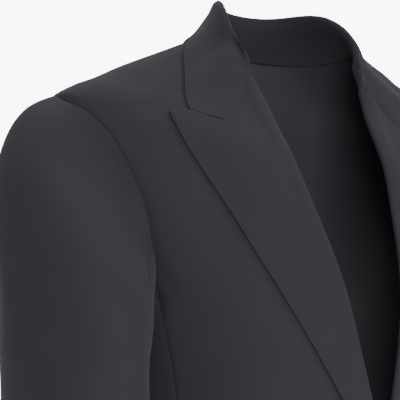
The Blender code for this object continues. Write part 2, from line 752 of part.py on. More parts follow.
def make_pocket_flap(side):
    angles = np.radians(np.linspace(*FLAP_ANGLES, FLAP_COLUMNS))
    drops = np.outer(FLAP_DROPS, np.ones(FLAP_COLUMNS))
    drops[-1, [0, -1]] *= FLAP_CORNER
    height = FLAP_WALL + FLAP_SEAT
    levels = FLAP_TOP_LEVEL - drops
    points, normals = cloth_point(np.broadcast_to(angles, levels.shape), levels, side, height)
    return cloth_wall("pocket_flap_" + SIDE_NAMES[side], points, normals, side, wall=FLAP_WALL)


def make_button(name, centre, normal, radius, height):
    """A turned button: a flat back, a rounded rim and a dished middle."""
    profile = (
        (0.80, 0.00),
        (1.00, 0.35),
        (1.00, 0.72),
        (0.86, 1.00),
        (0.62, 0.70),
    )
    normal = unit(np.asarray(normal, float))
    side_way = unit(np.cross(normal, np.array([0.0, 0.0, 1.0])))
    up_way = np.cross(side_way, normal)
    bm = bmesh.new()
    loops = []
    for share, lift in profile:
        loop = []
        for k in range(BUTTON_SIDES):
            turn = 2 * math.pi * k / BUTTON_SIDES
            spoke = side_way * math.cos(turn) + up_way * math.sin(turn)
            loop.append(bm.verts.new(centre + spoke * radius * share + normal * height * lift))
        loops.append(loop)
    for low, high in zip(loops, loops[1:]):
        for k in range(BUTTON_SIDES):
            following = (k + 1) % BUTTON_SIDES
            bm.faces.new((low[k], low[following], high[following], high[k]))
    bm.faces.new(loops[0])
    bm.faces.new(loops[-1])
    return add_object(name, bm, "button")


def make_front_buttons():
    for number, z in enumerate(FRONT_BUTTON_Z, start=1):
        angle, level = front_place(0.0, z)
        point, normal = cloth_point(angle, level, LEFT, height=SEAT_GAP)
        make_button("front_button_%d" % number, point, normal,
                    FRONT_BUTTON_RADIUS, FRONT_BUTTON_HEIGHT)


def make_cuff_buttons(side):
    points, normals = sleeve_walls()
    column = SLEEVE_BACK_SEAM
    seam = points[-3:, [column, column + 1]].mean(axis=1)
    out = unit(normals[-3:, [column, column + 1]].mean(axis=1))
    mirror = np.array([side, 1.0, 1.0])
    for number in range(CUFF_BUTTON_COUNT):
        z = CUFF_BUTTON_FIRST_Z + number * CUFF_BUTTON_PITCH
        place = np.array([np.interp(z, seam[::-1, 2], seam[::-1, i]) for i in range(3)])
        facing = unit(np.array([np.interp(z, seam[::-1, 2], out[::-1, i]) for i in range(3)]))
        centre = place + facing * 2 * SEAT_GAP
        name = "cuff_button_%s_%d" % (SIDE_NAMES[side], number + 1)
        make_button(name, centre * mirror, facing * mirror,
                    CUFF_BUTTON_RADIUS, CUFF_BUTTON_HEIGHT)


def trouser_row(values, behind):
    """A row of a trouser panel, from its inner seam round to its side seam."""
    row = dict(zip(TROUSER_COLUMNS, values))
    steps = np.linspace(0, 1, TROUSER_STEPS + 1)
    facing = 1.0 if behind else -1.0
    hip = np.radians(90 * steps)
    depth = row["back_depth"] if behind else row["front_depth"]
    hip_x = row["half_width"] * np.sin(hip) ** (2 / HIP_POWER)
    hip_y = TROUSER_SIDE_Y + facing * (depth - facing * TROUSER_SIDE_Y) * np.cos(hip) ** (2 / HIP_POWER)
    leg = np.radians(-90 + 180 * steps)
    leg_depth = row["leg_back"] if behind else row["leg_front"]
    leg_x = row["leg_x"] + row["leg_half_width"] * np.sin(leg)
    leg_y = row["leg_y"] + facing * leg_depth * np.cos(leg) ** (2 / LEG_POWER)
    fork = row["fork"]
    x = hip_x * (1 - fork) + leg_x * fork
    y = hip_y * (1 - fork) + leg_y * fork
    return np.stack([x, y, np.full(len(steps), row["z"])], -1)


def trouser_rings():
    """The left trouser half: its points from the front inner seam round to the back one."""
    front = np.array([trouser_row(values, behind=False) for values in TROUSERS])
    back = np.array([trouser_row(values, behind=True) for values in TROUSERS])
    points = np.concatenate([front, back[:, -2::-1]], axis=1)
    normals = grid_normals(points)
    if normals[2, 4, 1] > 0:
        normals = -normals
    fork = TROUSERS[:, TROUSER_COLUMNS.index("fork")][:, None]
    shared = unit(normals[:, 0] + normals[:, -1])
    for end in (0, -1):
        flat = normals[:, end] * np.array([0.0, 1.0, 1.0])
        normals[:, end] = unit(unit(flat) * (1 - fork) + shared * fork)
    return points, normals


def make_trouser_panel(side, behind):
    points, normals = trouser_rings()
    columns = slice(TROUSER_STEPS, None) if behind else slice(0, TROUSER_STEPS + 1)
    panel = drawn_in(points[:, columns], columns=(0, -1))
    name = ("trouser_back_" if behind else "trouser_front_") + SIDE_NAMES[side]
    return cloth_wall(name, panel, normals[:, columns], side, kind="trouser_wool")


def make_waistband():
    """The waistband: a strip right round, whose ends meet in the middle of the front."""
    row = dict(zip(TROUSER_COLUMNS, TROUSERS[0]))
    gap = SEAT_GAP / row["half_width"]
    turns = np.linspace(gap, 2 * math.pi - gap, WAISTBAND_STEPS + 1)
    c = np.cos(turns)
    s = np.sin(turns)
    depth = np.where(c > 0, row["front_depth"] + TROUSER_SIDE_Y, row["back_depth"] - TROUSER_SIDE_Y)
    x = row["half_width"] * np.sign(s) * np.abs(s) ** (2 / HIP_POWER)
    y = TROUSER_SIDE_Y - np.sign(c) * depth * np.abs(c) ** (2 / HIP_POWER)
    low = np.stack([x, y, np.full(len(turns), row["z"] + WAISTBAND_DROP)], -1)
    high = low.copy()
    high[:, 2] = WAISTBAND_TOP
    high[:, :2] *= WAISTBAND_LEAN
    points = np.array([low, high])
    normals = grid_normals(points)
    if normals[0, 4, 1] > 0:
        normals = -normals
    return cloth_wall("waistband", points, normals, LEFT, kind="trouser_wool")


def clear_scene():
    for item in list(bpy.data.objects):
        bpy.data.objects.remove(item, do_unlink=True)


def main():
    clear_scene()
    for side in (RIGHT, LEFT):
        make_front(side)
        make_side(side)
        make_back(side)
        make_sleeve(side)
        make_lapel(side)
        make_pocket_flap(side)
        make_cuff_buttons(side)
        make_trouser_panel(side, behind=False)
        make_trouser_panel(side, behind=True)
    make_collar()
    make_breast_welt()
    make_front_buttons()
    make_waistband()


main()
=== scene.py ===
"""Looks of the worn suit: every cloth panel is cut again along its solid's own rows and columns,
finer and with soft folds, then given its wall, its wool and its lining."""

import math

import bmesh
import bpy
import numpy as np
from mathutils import Matrix, Vector
from mathutils.bvhtree import BVHTree
from mathutils.kdtree import KDTree


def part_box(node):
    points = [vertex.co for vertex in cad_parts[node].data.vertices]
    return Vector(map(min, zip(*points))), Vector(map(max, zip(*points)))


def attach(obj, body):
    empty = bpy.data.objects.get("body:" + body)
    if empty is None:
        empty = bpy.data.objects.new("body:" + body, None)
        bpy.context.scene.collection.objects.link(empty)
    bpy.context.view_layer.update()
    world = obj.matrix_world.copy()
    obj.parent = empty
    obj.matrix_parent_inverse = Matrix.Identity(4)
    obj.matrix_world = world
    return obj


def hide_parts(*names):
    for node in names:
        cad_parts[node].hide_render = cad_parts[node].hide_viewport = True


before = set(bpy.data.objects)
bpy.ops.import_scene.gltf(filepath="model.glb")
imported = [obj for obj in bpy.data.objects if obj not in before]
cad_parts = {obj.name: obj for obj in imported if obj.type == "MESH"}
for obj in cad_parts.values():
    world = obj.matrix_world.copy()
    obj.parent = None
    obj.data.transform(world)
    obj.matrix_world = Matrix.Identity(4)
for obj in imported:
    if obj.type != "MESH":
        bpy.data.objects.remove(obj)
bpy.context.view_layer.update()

LEFT = 1
RIGHT = -1
SIDES = {"left": LEFT, "right": RIGHT}

# Camera: where it stands round the suit, how far off, and the point it looks at
CAMERA_AZIMUTH = -30.0
CAMERA_ELEVATION = -14.0
CAMERA_ROLL = -1.5
CAMERA_DISTANCE = 2.4
CAMERA_LENS = 239.4
CAMERA_SENSOR = 36.0
CAMERA_CLIP = (0.05, 50.0)
CAMERA_ASIDE = -0.100
CAMERA_HEIGHT = -0.1375
CAMERA_FORWARD = -0.05

# Cloth panels: rows and columns of the solid's grid, wall, material, inner material, spacing
PANEL_COLUMNS = ("rows", "columns", "wall", "cloth", "inside", "spacing", "form")
PANELS = {
    "front": (32, 10, 0.0020, "wool", "lining", 0.0045, "body"),
    "side": (14, 5, 0.0020, "wool", "lining", 0.0050, "body"),
    "back": (32, 9, 0.0020, "wool", "lining", 0.0050, "body"),
    "lapel": (15, 12, 0.0018, "wool", "wool", 0.0040, "body"),
    "collar": (21, 11, 0.0018, "wool", "under_collar", 0.0035, "body"),
    "breast_welt": (2, 6, 0.0010, "wool", "wool", 0.0030, "body"),
    "pocket_flap": (4, 11, 0.0016, "wool", "lining", 0.0035, "body"),
    "sleeve_top": (14, 15, 0.0020, "wool", "lining", 0.0045, "sleeve"),
    "sleeve_under": (14, 11, 0.0020, "wool", "lining", 0.0045, "sleeve"),
    "trouser_front": (12, 10, 0.0020, "trouser_wool", "trouser_wool", 0.0060, "leg"),
    "trouser_back": (12, 10, 0.0020, "trouser_wool", "trouser_wool", 0.0060, "leg"),
    "waistband": (2, 33, 0.0020, "trouser_wool", "trouser_wool", 0.0050, "body"),
}
RIGHT_LAPEL_ROWS = 13

# What each form hangs round: its usual radius, for measuring along the cloth
FORM_RADIUS = {"body": 0.165, "sleeve": 0.060, "leg": 0.085}

# Reading a solid: points nearer than this are one, how exact its wall is, and which faces tell
# its outer side, by their share of the biggest one and their turn away from the hollow
MERGE = 1e-5
WALL_SLACK = 5e-6
BIG_FACE = 0.3
FACING_AWAY = 0.5

# How far a panel reaches across a seam for its neighbour
SEAM_REACH = 0.0009

# The most that the cloth turns between two fine columns, in degrees
STEP_TURN = 14.0

# Finer rows beside every edge, within this share of the panel, and the least gap between two
EDGE_STEPS = (0.0007, 0.0016, 0.0028)
EDGE_SHARE = 0.3
LEAST_STEP = 0.00045

# The slit between the collar's end and the lapel's peak: the column where the gorge seam ends
# and the slit opens, the columns where it closes at the peak's tip, and how far it opens in
# each row from the edge, towards a row further in
SLIT_COLUMN = 8
SLIT_EASE = 0.6
SLIT_CLOSE = (10.0, 11.0)
SLIT_OPEN = 0.0006
SLIT_SHARES = (1.0, 0.75, 0.5, 0.25)
SLIT_INNER_ROW = 5

# How far a lapel's edge and the collar's edge settle down on the cloth below them, and the
# columns between which they fold over
SETTLE = {"lapel": 0.0011, "collar": 0.0014}
TURNED_COLUMN = 5.0
FALL_COLUMN = 7.0

# The neck: its wall, how near the stand's foot is to it, and the middle that it goes round
NECK_WALL = 0.0020
STAND_REACH = 0.0045
NECK_MIDDLE = np.array([0.0, 0.01, 0.0])
LEVEL_PART = np.array([1.0, 1.0, 0.0])


def only(piece):
    """Selects this one object and makes it the active one."""
    bpy.ops.object.select_all(action="DESELECT")
    piece.select_set(True)
    bpy.context.view_layer.objects.active = piece


def add_object(name, mesh):
    piece = bpy.data.objects.new(name, mesh)
    bpy.context.scene.collection.objects.link(piece)
    return piece


def node_kind(node):
    for side in SIDES:
        if node.endswith("_" + side):
            return node[: -len(side) - 1], SIDES[side]
    return node, LEFT


def panel_spec(node):
    return dict(zip(PANEL_COLUMNS, PANELS[node_kind(node)[0]]))


def point_tree(points):
    tree = KDTree(len(points))
    for index, point in enumerate(points):
        tree.insert(point, index)
    tree.balance()
    return tree


def unit(vectors):
    return vectors / np.maximum(np.linalg.norm(vectors, axis=-1, keepdims=True), 1e-12)


# The camera

def make_camera():
    turn = math.radians(CAMERA_AZIMUTH)
    rise = math.radians(CAMERA_ELEVATION)
    roll = math.radians(CAMERA_ROLL)
    back = Vector((math.sin(turn) * math.cos(rise), -math.cos(turn) * math.cos(rise),
                   math.sin(rise)))
    level = (-back).cross(Vector((0, 0, 1))).normalized()
    upright = level.cross(-back)
    right = level * math.cos(roll) + upright * math.sin(roll)
    up = upright * math.cos(roll) - level * math.sin(roll)
    aim = Vector((0, CAMERA_FORWARD, 0)) + level * CAMERA_ASIDE + Vector((0, 0, CAMERA_HEIGHT))
    place = aim + back * CAMERA_DISTANCE
    data = bpy.data.cameras.new("photo_camera")
    data.sensor_width = CAMERA_SENSOR
    data.lens = CAMERA_LENS
    data.clip_start, data.clip_end = CAMERA_CLIP
    camera = add_object("photo_camera", data)
    camera.matrix_world = Matrix((
        (right.x, up.x, back.x, place.x),
        (right.y, up.y, back.y, place.y),
        (right.z, up.z, back.z, place.z),
        (0, 0, 0, 1),
    ))
    bpy.context.scene.camera = camera


# Reading a panel's grid back from its solid

def visible_side(node, hollow, wall):
    """A copy of the solid with only the side of its wall that faces away from the hollow."""
    piece = add_object("cut_" + node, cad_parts[node].data.copy())
    only(piece)
    bpy.ops.object.mode_set(mode="EDIT")
    bpy.ops.mesh.select_mode(type="FACE")
    bpy.ops.mesh.select_all(action="SELECT")
    bpy.ops.mesh.remove_doubles(threshold=MERGE)
    bpy.ops.mesh.select_all(action="DESELECT")
    bm = bmesh.from_edit_mesh(piece.data)
    bm.verts.ensure_lookup_table()
    sides = wall_sides(bm, wall)
    biggest = max(face.calc_area() for face in bm.faces)
    reach = -1.0
    for face in bm.faces:
        centre = face.calc_center_median()
        away = Vector((centre.x - hollow[0], centre.y - hollow[1], 0.0))
        turned = face.normal.dot(away.normalized())
        if face.calc_area() < BIG_FACE * biggest or turned < FACING_AWAY:
            continue
        if away.length > reach and len({sides[vert.index] for vert in face.verts}) == 1:
            reach = away.length
            seen = sides[face.verts[0].index]
    for face in bm.faces:
        face.select_set(any(sides[vert.index] != seen for vert in face.verts))
    bmesh.update_edit_mesh(piece.data)
    bpy.ops.mesh.delete(type="FACE")
    bpy.ops.object.mode_set(mode="OBJECT")
    return piece


def wall_sides(bm, wall):
    """For each vertex, which side of the wall it is on: partners face each other across it."""
    tree = point_tree([vert.co for vert in bm.verts])
    partner = {}
    for vert in bm.verts:
        near = tree.find_range(vert.co, wall + WALL_SLACK)
        near = [(abs(gap - wall), k) for _, k, gap in near if k != vert.index]
        partner[vert.index] = min(near)[1]
    edges = {frozenset(vert.index for vert in edge.verts) for edge in bm.edges}
    sides = {}
    for first in range(len(bm.verts)):
        if first in sides:
            continue
        stack = [first]
        sides[first] = first
        while stack:
            here = stack.pop()
            for edge in bm.verts[here].link_edges:
                there = edge.other_vert(bm.verts[here]).index
                across = frozenset((partner[here], partner[there]))
                if there not in sides and there != partner[here] and across in edges:
                    sides[there] = first
                    stack.append(there)
    return sides


def border_loop(triangles):
    """The vertices round the border of a set of triangles, in order."""
    uses = {}
    for triangle in triangles:
        for k in range(3):
            edge = frozenset((triangle[k], triangle[(k + 1) % 3]))
            uses[edge] = uses.get(edge, 0) + 1
    beside = {}
    for edge, count in uses.items():
        if count == 1:
            a, b = edge
            beside.setdefault(a, []).append(b)
            beside.setdefault(b, []).append(a)
    first = min(beside)
    loop = [first, beside[first][0]]
    while True:
        ahead = [v for v in beside[loop[-1]] if v != loop[-2]]
        if ahead[0] == first:
            return loop
        loop.append(ahead[0])


def march(triangles, by_edge, bottom, side):
    """Fills the grid cell by cell from its first row and first column, or gives None."""
    rows, columns = len(side), len(bottom)
    grid = np.full((rows, columns), -1)
    grid[0] = bottom
    grid[:, 0] = side
    used = set()

    def across(a, b):
        found = [t for t in by_edge.get(frozenset((a, b)), ()) if t not in used]
        return found[0] if len(found) == 1 else None

    def third(face, a, b):
        return next(v for v in triangles[face] if v != a and v != b)

    for i in range(rows - 1):
        for j in range(columns - 1):
            near, right, above = grid[i, j], grid[i, j + 1], grid[i + 1, j]
            face = across(near, right)
            if face is None:
                return None
            used.add(face)
            corner = third(face, near, right)
            if corner == above:
                face = across(right, above)
                if face is None:
                    return None
                corner = third(face, right, above)
            else:
                face = across(near, above)
                if face is None or third(face, near, above) != corner:
                    return None
            used.add(face)
            if grid[i + 1, j + 1] not in (-1, corner):
                return None
            grid[i + 1, j + 1] = corner
    if len(used) != len(triangles) or len(set(grid.ravel())) != grid.size:
        return None
    return grid


def grid_points(piece, rows, columns):
    """The panel's points in rows and columns, found by walking its cells from a corner."""
    triangles = [tuple(face.vertices) for face in piece.data.polygons]
    by_edge = {}
    for index, triangle in enumerate(triangles):
        for k in range(3):
            edge = frozenset((triangle[k], triangle[(k + 1) % 3]))
            by_edge.setdefault(edge, []).append(index)
    loop = border_loop(triangles)
    size = len(loop)
    for start in range(size):
        for way in (1, -1):
            bottom = [loop[(start + way * k) % size] for k in range(columns)]
            side = [loop[(start - way * k) % size] for k in range(rows)]
            grid = march(triangles, by_edge, bottom, side)
            if grid is not None:
                points = np.array([vert.co[:] for vert in piece.data.vertices], float)
                facing = np.array([vert.normal[:] for vert in piece.data.vertices], float)
                return points[grid], facing[grid]
    raise ValueError("no grid in " + piece.name)


def ordered(points, facing):
    """The grid with its lowest row first and, across, its end nearer the middle first."""
    if points[0, :, 2].mean() > points[-1, :, 2].mean():
        points, facing = points[::-1], facing[::-1]
    reach = np.linalg.norm(points[:, :, :2], axis=-1)
    if reach[:, 0].mean() > reach[:, -1].mean():
        points, facing = points[:, ::-1], facing[:, ::-1]
    return points, facing


# Finer rows and columns through the solid's own points

def spline_at(knots, values, places):
    """A natural cubic spline through the values at their knots, read at the places."""
    count = len(knots)
    gaps = np.diff(knots)
    slopes = np.diff(values, axis=0) / gaps[:, None]
    matrix = np.zeros((count, count))
    right = np.zeros_like(values)
    matrix[0, 0] = matrix[-1, -1] = 1.0
    for k in range(1, count - 1):
        matrix[k, k - 1] = gaps[k - 1]
        matrix[k, k] = 2 * (gaps[k - 1] + gaps[k])
        matrix[k, k + 1] = gaps[k]
        right[k] = 6 * (slopes[k] - slopes[k - 1])
    bends = np.linalg.solve(matrix, right)
    k = np.clip(np.searchsorted(knots, places, side="right") - 1, 0, count - 2)
    width = gaps[k][:, None]
    after = (places - knots[k])[:, None]
    before = width - after
    curve = (bends[k] * before**3 + bends[k + 1] * after**3) / (6 * width)
    curve += (values[k] / width - bends[k] * width / 6) * before
    curve += (values[k + 1] / width - bends[k + 1] * width / 6) * after
    return curve


def split_counts(points, spacing):
    """How many steps each stretch between two columns gets, by its length and its turn."""
    chords = np.diff(points, axis=1)
    lengths = np.linalg.norm(chords, axis=-1).mean(axis=0)
    ways = unit(chords)
    turns = np.degrees(np.arccos(np.clip((ways[:, 1:] * ways[:, :-1]).sum(-1), -1, 1)))
    turns = turns.max(axis=0)
    at_ends = np.maximum(np.append(turns, 0.0), np.append(0.0, turns))
    return np.maximum(np.ceil(lengths / spacing), np.ceil(at_ends / STEP_TURN)).astype(int)


def index_places(counts):
    """Places along the columns, as fractions of an index."""
    places = [k + np.arange(n) / n for k, n in enumerate(counts)]
    return np.append(np.concatenate(places), float(len(counts)))


def edge_places(points, places):
    """The places along the columns with finer ones added beside both edges."""
    steps = np.linalg.norm(np.diff(points, axis=1), axis=-1).mean(axis=0)
    lengths = np.concatenate([[0.0], np.cumsum(steps)])
    count = np.arange(len(lengths))
    extra = [step for step in EDGE_STEPS if step < EDGE_SHARE * lengths[-1]]
    found = np.interp(extra + [lengths[-1] - step for step in extra], lengths, count)
    kept = [0.0]
    beside = set(np.round(found, 9))
    for place in sorted(set(np.round(places, 9)) | beside):
        gap = np.interp(place, count, lengths) - np.interp(kept[-1], count, lengths)
        if gap >= LEAST_STEP:
            kept.append(place)
        elif place in beside and len(kept) > 1:
            kept[-1] = place
    kept[-1] = float(count[-1])
    return np.array(kept)


def smooth_curve(row, places):
    """One smooth curve through a row's points, read at places along its columns."""
    k = np.minimum(places.astype(int), len(row) - 2)
    chords = np.linalg.norm(np.diff(row, axis=0), axis=-1)
    lengths = np.concatenate([[0.0], np.cumsum(np.maximum(chords, 1e-6))])
    return spline_at(lengths, row, lengths[k] + (places - k) * (lengths[k + 1] - lengths[k]))


def finer(points, places, cornered=()):
    """Every row as a smooth curve through its own points, the cornered ones in two parts."""
    rows = []
    for index, row in enumerate(points):
        if index not in cornered:
            rows.append(smooth_curve(row, places))
            continue
        before = places[places <= SLIT_COLUMN]
        after = places[places > SLIT_COLUMN] - SLIT_COLUMN
        first = smooth_curve(row[:SLIT_COLUMN + 1], before)
        rows.append(np.concatenate([first, smooth_curve(row[SLIT_COLUMN:], after)]))
    return np.array(rows)


def along_lengths(points, axis):
    """Length along the cloth from its first row or column, in metres."""
    steps = np.linalg.norm(np.diff(points, axis=axis), axis=-1)
    start = np.zeros_like(np.take(steps, [0], axis=axis))
    return np.concatenate([start, np.cumsum(steps, axis=axis)], axis=axis)


# Folds, laid out on the unrolled cloth: angle round the form (0 in front, 90 at the outer
# side, 180 behind) and z at both ends, width, depth (negative stands out), and sideways bow
FOLD_COLUMNS = ("angle_a", "z_a", "angle_b", "z_b", "width", "depth", "bow")
FOLDS = {
    "body": [
        (54.0, -0.110, 47.0, -0.230, 0.024, 0.0016, 0.006),
        (40.0, -0.100, 36.0, -0.200, 0.030, -0.0010, -0.004),
        (8.0, -0.462, 33.0, -0.418, 0.013, 0.0021, 0.006),
        (9.0, -0.474, 40.0, -0.468, 0.016, 0.0018, -0.005),
        (7.0, -0.492, 30.0, -0.540, 0.014, 0.0014, 0.004),
        (52.0, -0.395, 78.0, -0.425, 0.013, 0.0020, 0.004),
        (60.0, -0.452, 96.0, -0.446, 0.011, 0.0016, -0.004),
        (150.0, -0.130, 134.0, -0.250, 0.022, 0.0022, 0.010),
        (166.0, -0.205, 158.0, -0.330, 0.026, 0.0014, -0.006),
        (118.0, -0.390, 152.0, -0.412, 0.012, 0.0024, 0.006),
        (124.0, -0.436, 166.0, -0.430, 0.013, 0.0020, -0.007),
        (139.0, -0.466, 172.0, -0.476, 0.010, 0.0014, 0.003),
        (168.0, -0.540, 160.0, -0.690, 0.028, -0.0018, 0.004),
        (128.0, -0.560, 132.0, -0.700, 0.030, 0.0016, 0.006),
        (86.0, -0.560, 84.0, -0.690, 0.026, 0.0012, -0.005),
    ],
    "sleeve": [
        (96.0, -0.120, 84.0, -0.300, 0.020, -0.0012, 0.004),
        (56.0, -0.150, 48.0, -0.300, 0.022, 0.0016, -0.005),
        (118.0, -0.150, 128.0, -0.310, 0.020, 0.0015, 0.005),
        (20.0, -0.255, 34.0, -0.330, 0.012, 0.0016, 0.004),
        (-46.0, -0.362, 34.0, -0.388, 0.009, 0.0032, 0.006),
        (-30.0, -0.402, 58.0, -0.398, 0.010, 0.0036, -0.007),
        (-52.0, -0.432, 26.0, -0.440, 0.008, 0.0026, 0.004),
        (8.0, -0.462, 78.0, -0.442, 0.010, 0.0020, -0.004),
        (104.0, -0.372, 158.0, -0.398, 0.012, 0.0018, 0.005),
        (122.0, -0.426, 186.0, -0.436, 0.011, 0.0016, -0.005),
        (66.0, -0.470, 58.0, -0.600, 0.016, 0.0016, 0.005),
        (134.0, -0.480, 140.0, -0.620, 0.018, 0.0014, -0.004),
        (10.0, -0.500, 0.0, -0.610, 0.014, 0.0012, 0.004),
    ],
    "leg": [
        (-56.0, -0.770, 24.0, -0.812, 0.014, 0.0026, 0.006),
        (-62.0, -0.815, 6.0, -0.880, 0.015, 0.0020, -0.006),
        (-128.0, -0.780, 172.0, -0.800, 0.013, 0.0026, 0.005),
        (-70.0, -0.962, 34.0, -0.950, 0.012, 0.0022, 0.006),
        (112.0, -0.985, 202.0, -1.005, 0.012, 0.0030, -0.006),
        (-96.0, -1.022, -168.0, -1.030, 0.012, 0.0024, 0.005),
        (40.0, -1.030, 112.0, -1.060, 0.014, 0.0018, 0.005),
        (66.0, -1.080, 72.0, -1.300, 0.022, 0.0016, 0.006),
        (-100.0, -1.090, -94.0, -1.290, 0.020, 0.0016, -0.006),
        (-38.0, -1.376, 46.0, -1.360, 0.012, 0.0030, 0.007),
        (-20.0, -1.412, 70.0, -1.402, 0.010, 0.0022, -0.005),
        (138.0, -1.390, 206.0, -1.402, 0.012, 0.0018, 0.004),
    ],
}

# Folds that the photo shows: exact on the wearer's right, a little uneven on the left
SEEN_FOLDS = {
    "body": [
        (69.0, -0.214, 63.0, -0.242, 0.0060, 0.0022, 0.001),
        (73.0, -0.064, 67.0, -0.084, 0.0085, 0.0020, 0.001),
        (73.0, -0.205, 75.0, -0.440, 0.030, -0.0060, 0.004),
    ],
    "sleeve": [
        (-55.0, -0.195, -44.0, -0.305, 0.020, -0.0044, 0.0),
        (-46.0, -0.300, -52.0, -0.392, 0.016, 0.0024, 0.002),
    ],
    "leg": [],
}

# How uneven the folds are, how they end, and the ridge along both sides of each trough
FOLD_SEED = 41
FOLD_SHIFT = 0.007
FOLD_UNEVEN = 0.22
FOLD_TAPER = 0.8
BOW_SHIFT = 0.3
RIDGE_RISE = 0.32
RIDGE_AT = 1.9

# Very slight waves all over the cloth
SOFT_SEED = 7
SOFT_PHASE = 6.28
SOFT_WAVES = 9
SOFT_HEIGHT = 0.00030
SOFT_LONG = (0.07, 0.19)

# The trousers' pressed edges, and how far they draw in under the jacket
PRESS_ANGLES = (0.0, 180.0)
PRESS_HEIGHT = 0.0026
PRESS_WIDTH = 0.0070
PRESS_FULL_Z = -0.640
PRESS_NONE_Z = -0.560
UNDER_JACKET = 0.0028
UNDER_FULL_Z = -0.730
UNDER_NONE_Z = -0.800

# The valley that a seam draws into the cloth, with a slight swell on both sides
SEAM_DEPTH = 0.00035
GORGE_DEPTH = 0.00012
ARMHOLE_DEPTH = 0.0005
SEAM_WIDTH = 0.0014
SEAM_DRAW = 0.0003
SEAM_SWELL_AT = 0.0060
SEAM_SPREAD = 0.0035

# How a free edge turns in, and how the folds fade out towards the armhole seam
EDGE_TURN = {"pocket_flap": 0.0003, "breast_welt": 0.0002}
EDGE_TURN_USUAL = 0.0005
EDGE_TURN_WIDTH = 0.0012
ARMHOLE_CALM = 0.007
ARMHOLE_TOUCH = 0.0004

# The sleeve's allowance past the armhole seam: on into the body, and in from its surface
ALLOWANCE = ((0.0010, 0.0012), (0.0040, 0.0030))
ALLOWANCE_ROW = -4

# Between which faces the shading breaks, in degrees
CLOTH_CORNER = 50
BUTTON_CORNER = 35


def ease(low, high, value):
    share = np.clip((value - low) / (high - low), 0.0, 1.0)
    return share * share * (3 - 2 * share)


def hollow_lines():
    """The middle line of each sleeve and leg, and of the body: heights, x and y."""
    lines = {("body", LEFT): np.array([[0.0, 0.0, 0.0]])}
    lines["body", RIGHT] = lines["body", LEFT]
    for form, kinds in (("sleeve", ("sleeve_top", "sleeve_under")),
                        ("leg", ("trouser_front", "trouser_back"))):
        for word, side in SIDES.items():
            grids = [knots[kind + "_" + word] for kind in kinds]
            rows = np.concatenate(grids, axis=1).mean(axis=1)
            rows = rows[np.argsort(rows[:, 2])]
            lines[form, side] = rows[:, [2, 0, 1]]
    return lines


def round_form(points, form, side):
    """Angle round the form, in degrees from the front towards the outer side, and z."""
    line = lines[form, side]
    x = np.interp(points[..., 2], line[:, 0], line[:, 1])
    y = np.interp(points[..., 2], line[:, 0], line[:, 2])
    return np.degrees(np.arctan2(side * (points[..., 0] - x), -(points[..., 1] - y)))


def fold_rise(points, form, side):
    """How far the folds lift the cloth at each point, along its outward direction."""
    radius = FORM_RADIUS[form]
    angles = round_form(points, form, side)
    heights = points[..., 2]
    rise = np.zeros(heights.shape)
    draws = np.random.default_rng(FOLD_SEED + (side == LEFT))
    for values in FOLDS[form] + SEEN_FOLDS[form]:
        fold = dict(zip(FOLD_COLUMNS, values))
        shift = draws.uniform(-FOLD_SHIFT, FOLD_SHIFT, 3)
        strength = 1 + draws.uniform(-FOLD_UNEVEN, FOLD_UNEVEN)
        if values in SEEN_FOLDS[form] and side == RIGHT:
            shift = np.zeros(3)
            strength = 1.0
        start = np.array([math.radians(fold["angle_a"]) * radius, fold["z_a"] + shift[0]])
        way = np.array([math.radians(fold["angle_b"]) * radius, fold["z_b"] + shift[1]]) - start
        long = np.linalg.norm(way)
        way = way / long
        aside = np.array([-way[1], way[0]])
        middle = (fold["angle_a"] + fold["angle_b"]) / 2
        turned = (angles - middle + 180.0) % 360.0 - 180.0 + middle
        across = np.radians(turned) * radius - start[0]
        up = heights - start[1]
        share = (across * way[0] + up * way[1]) / long
        bow = (fold["bow"] + BOW_SHIFT * shift[2]) * 4 * share * (1 - share)
        off = (across * aside[0] + up * aside[1] - bow) / fold["width"]
        inside = np.clip(share, 0.0, 1.0)
        taper = np.sin(math.pi * inside) ** FOLD_TAPER
        trough = np.exp(-off**2)
        ridge = RIDGE_RISE * (np.exp(-(off - RIDGE_AT)**2) + np.exp(-(off + RIDGE_AT)**2))
        rise -= fold["depth"] * strength * taper * (trough - ridge)
    return rise


def soft_rise(points):
    """A very slight, wide unevenness that all cloth has."""
    draws = np.random.default_rng(SOFT_SEED)
    rise = np.zeros(points.shape[:-1])
    for _ in range(SOFT_WAVES):
        way = unit(draws.normal(size=3))
        long = draws.uniform(*SOFT_LONG)
        rise += np.sin(2 * math.pi * (points @ way) / long + draws.uniform(0, SOFT_PHASE))
    return rise * SOFT_HEIGHT


def pressed_rise(points, side):
    """The trousers' pressed edges, front and back, and the draw-in under the jacket."""
    angles = round_form(points, "leg", side)
    heights = points[..., 2]
    rise = np.zeros(heights.shape)
    for press in PRESS_ANGLES:
        off = (angles - press + 180.0) % 360.0 - 180.0
        off = np.radians(np.abs(off)) * FORM_RADIUS["leg"]
        pressed = ease(PRESS_NONE_Z, PRESS_FULL_Z, heights)
        rise += PRESS_HEIGHT * np.exp(-off / PRESS_WIDTH) * pressed
    return rise - UNDER_JACKET * ease(UNDER_NONE_Z, UNDER_FULL_Z, heights)


def grid_normals(points, facing):
    """Outward directions of the fine grid, on the side that the solid's own face is on."""
    along = np.gradient(points, axis=0)
    across = np.gradient(points, axis=1)
    normals = unit(np.cross(across, along))
    return normals * (1.0 if (normals * facing).sum() > 0 else -1.0)


# Panels

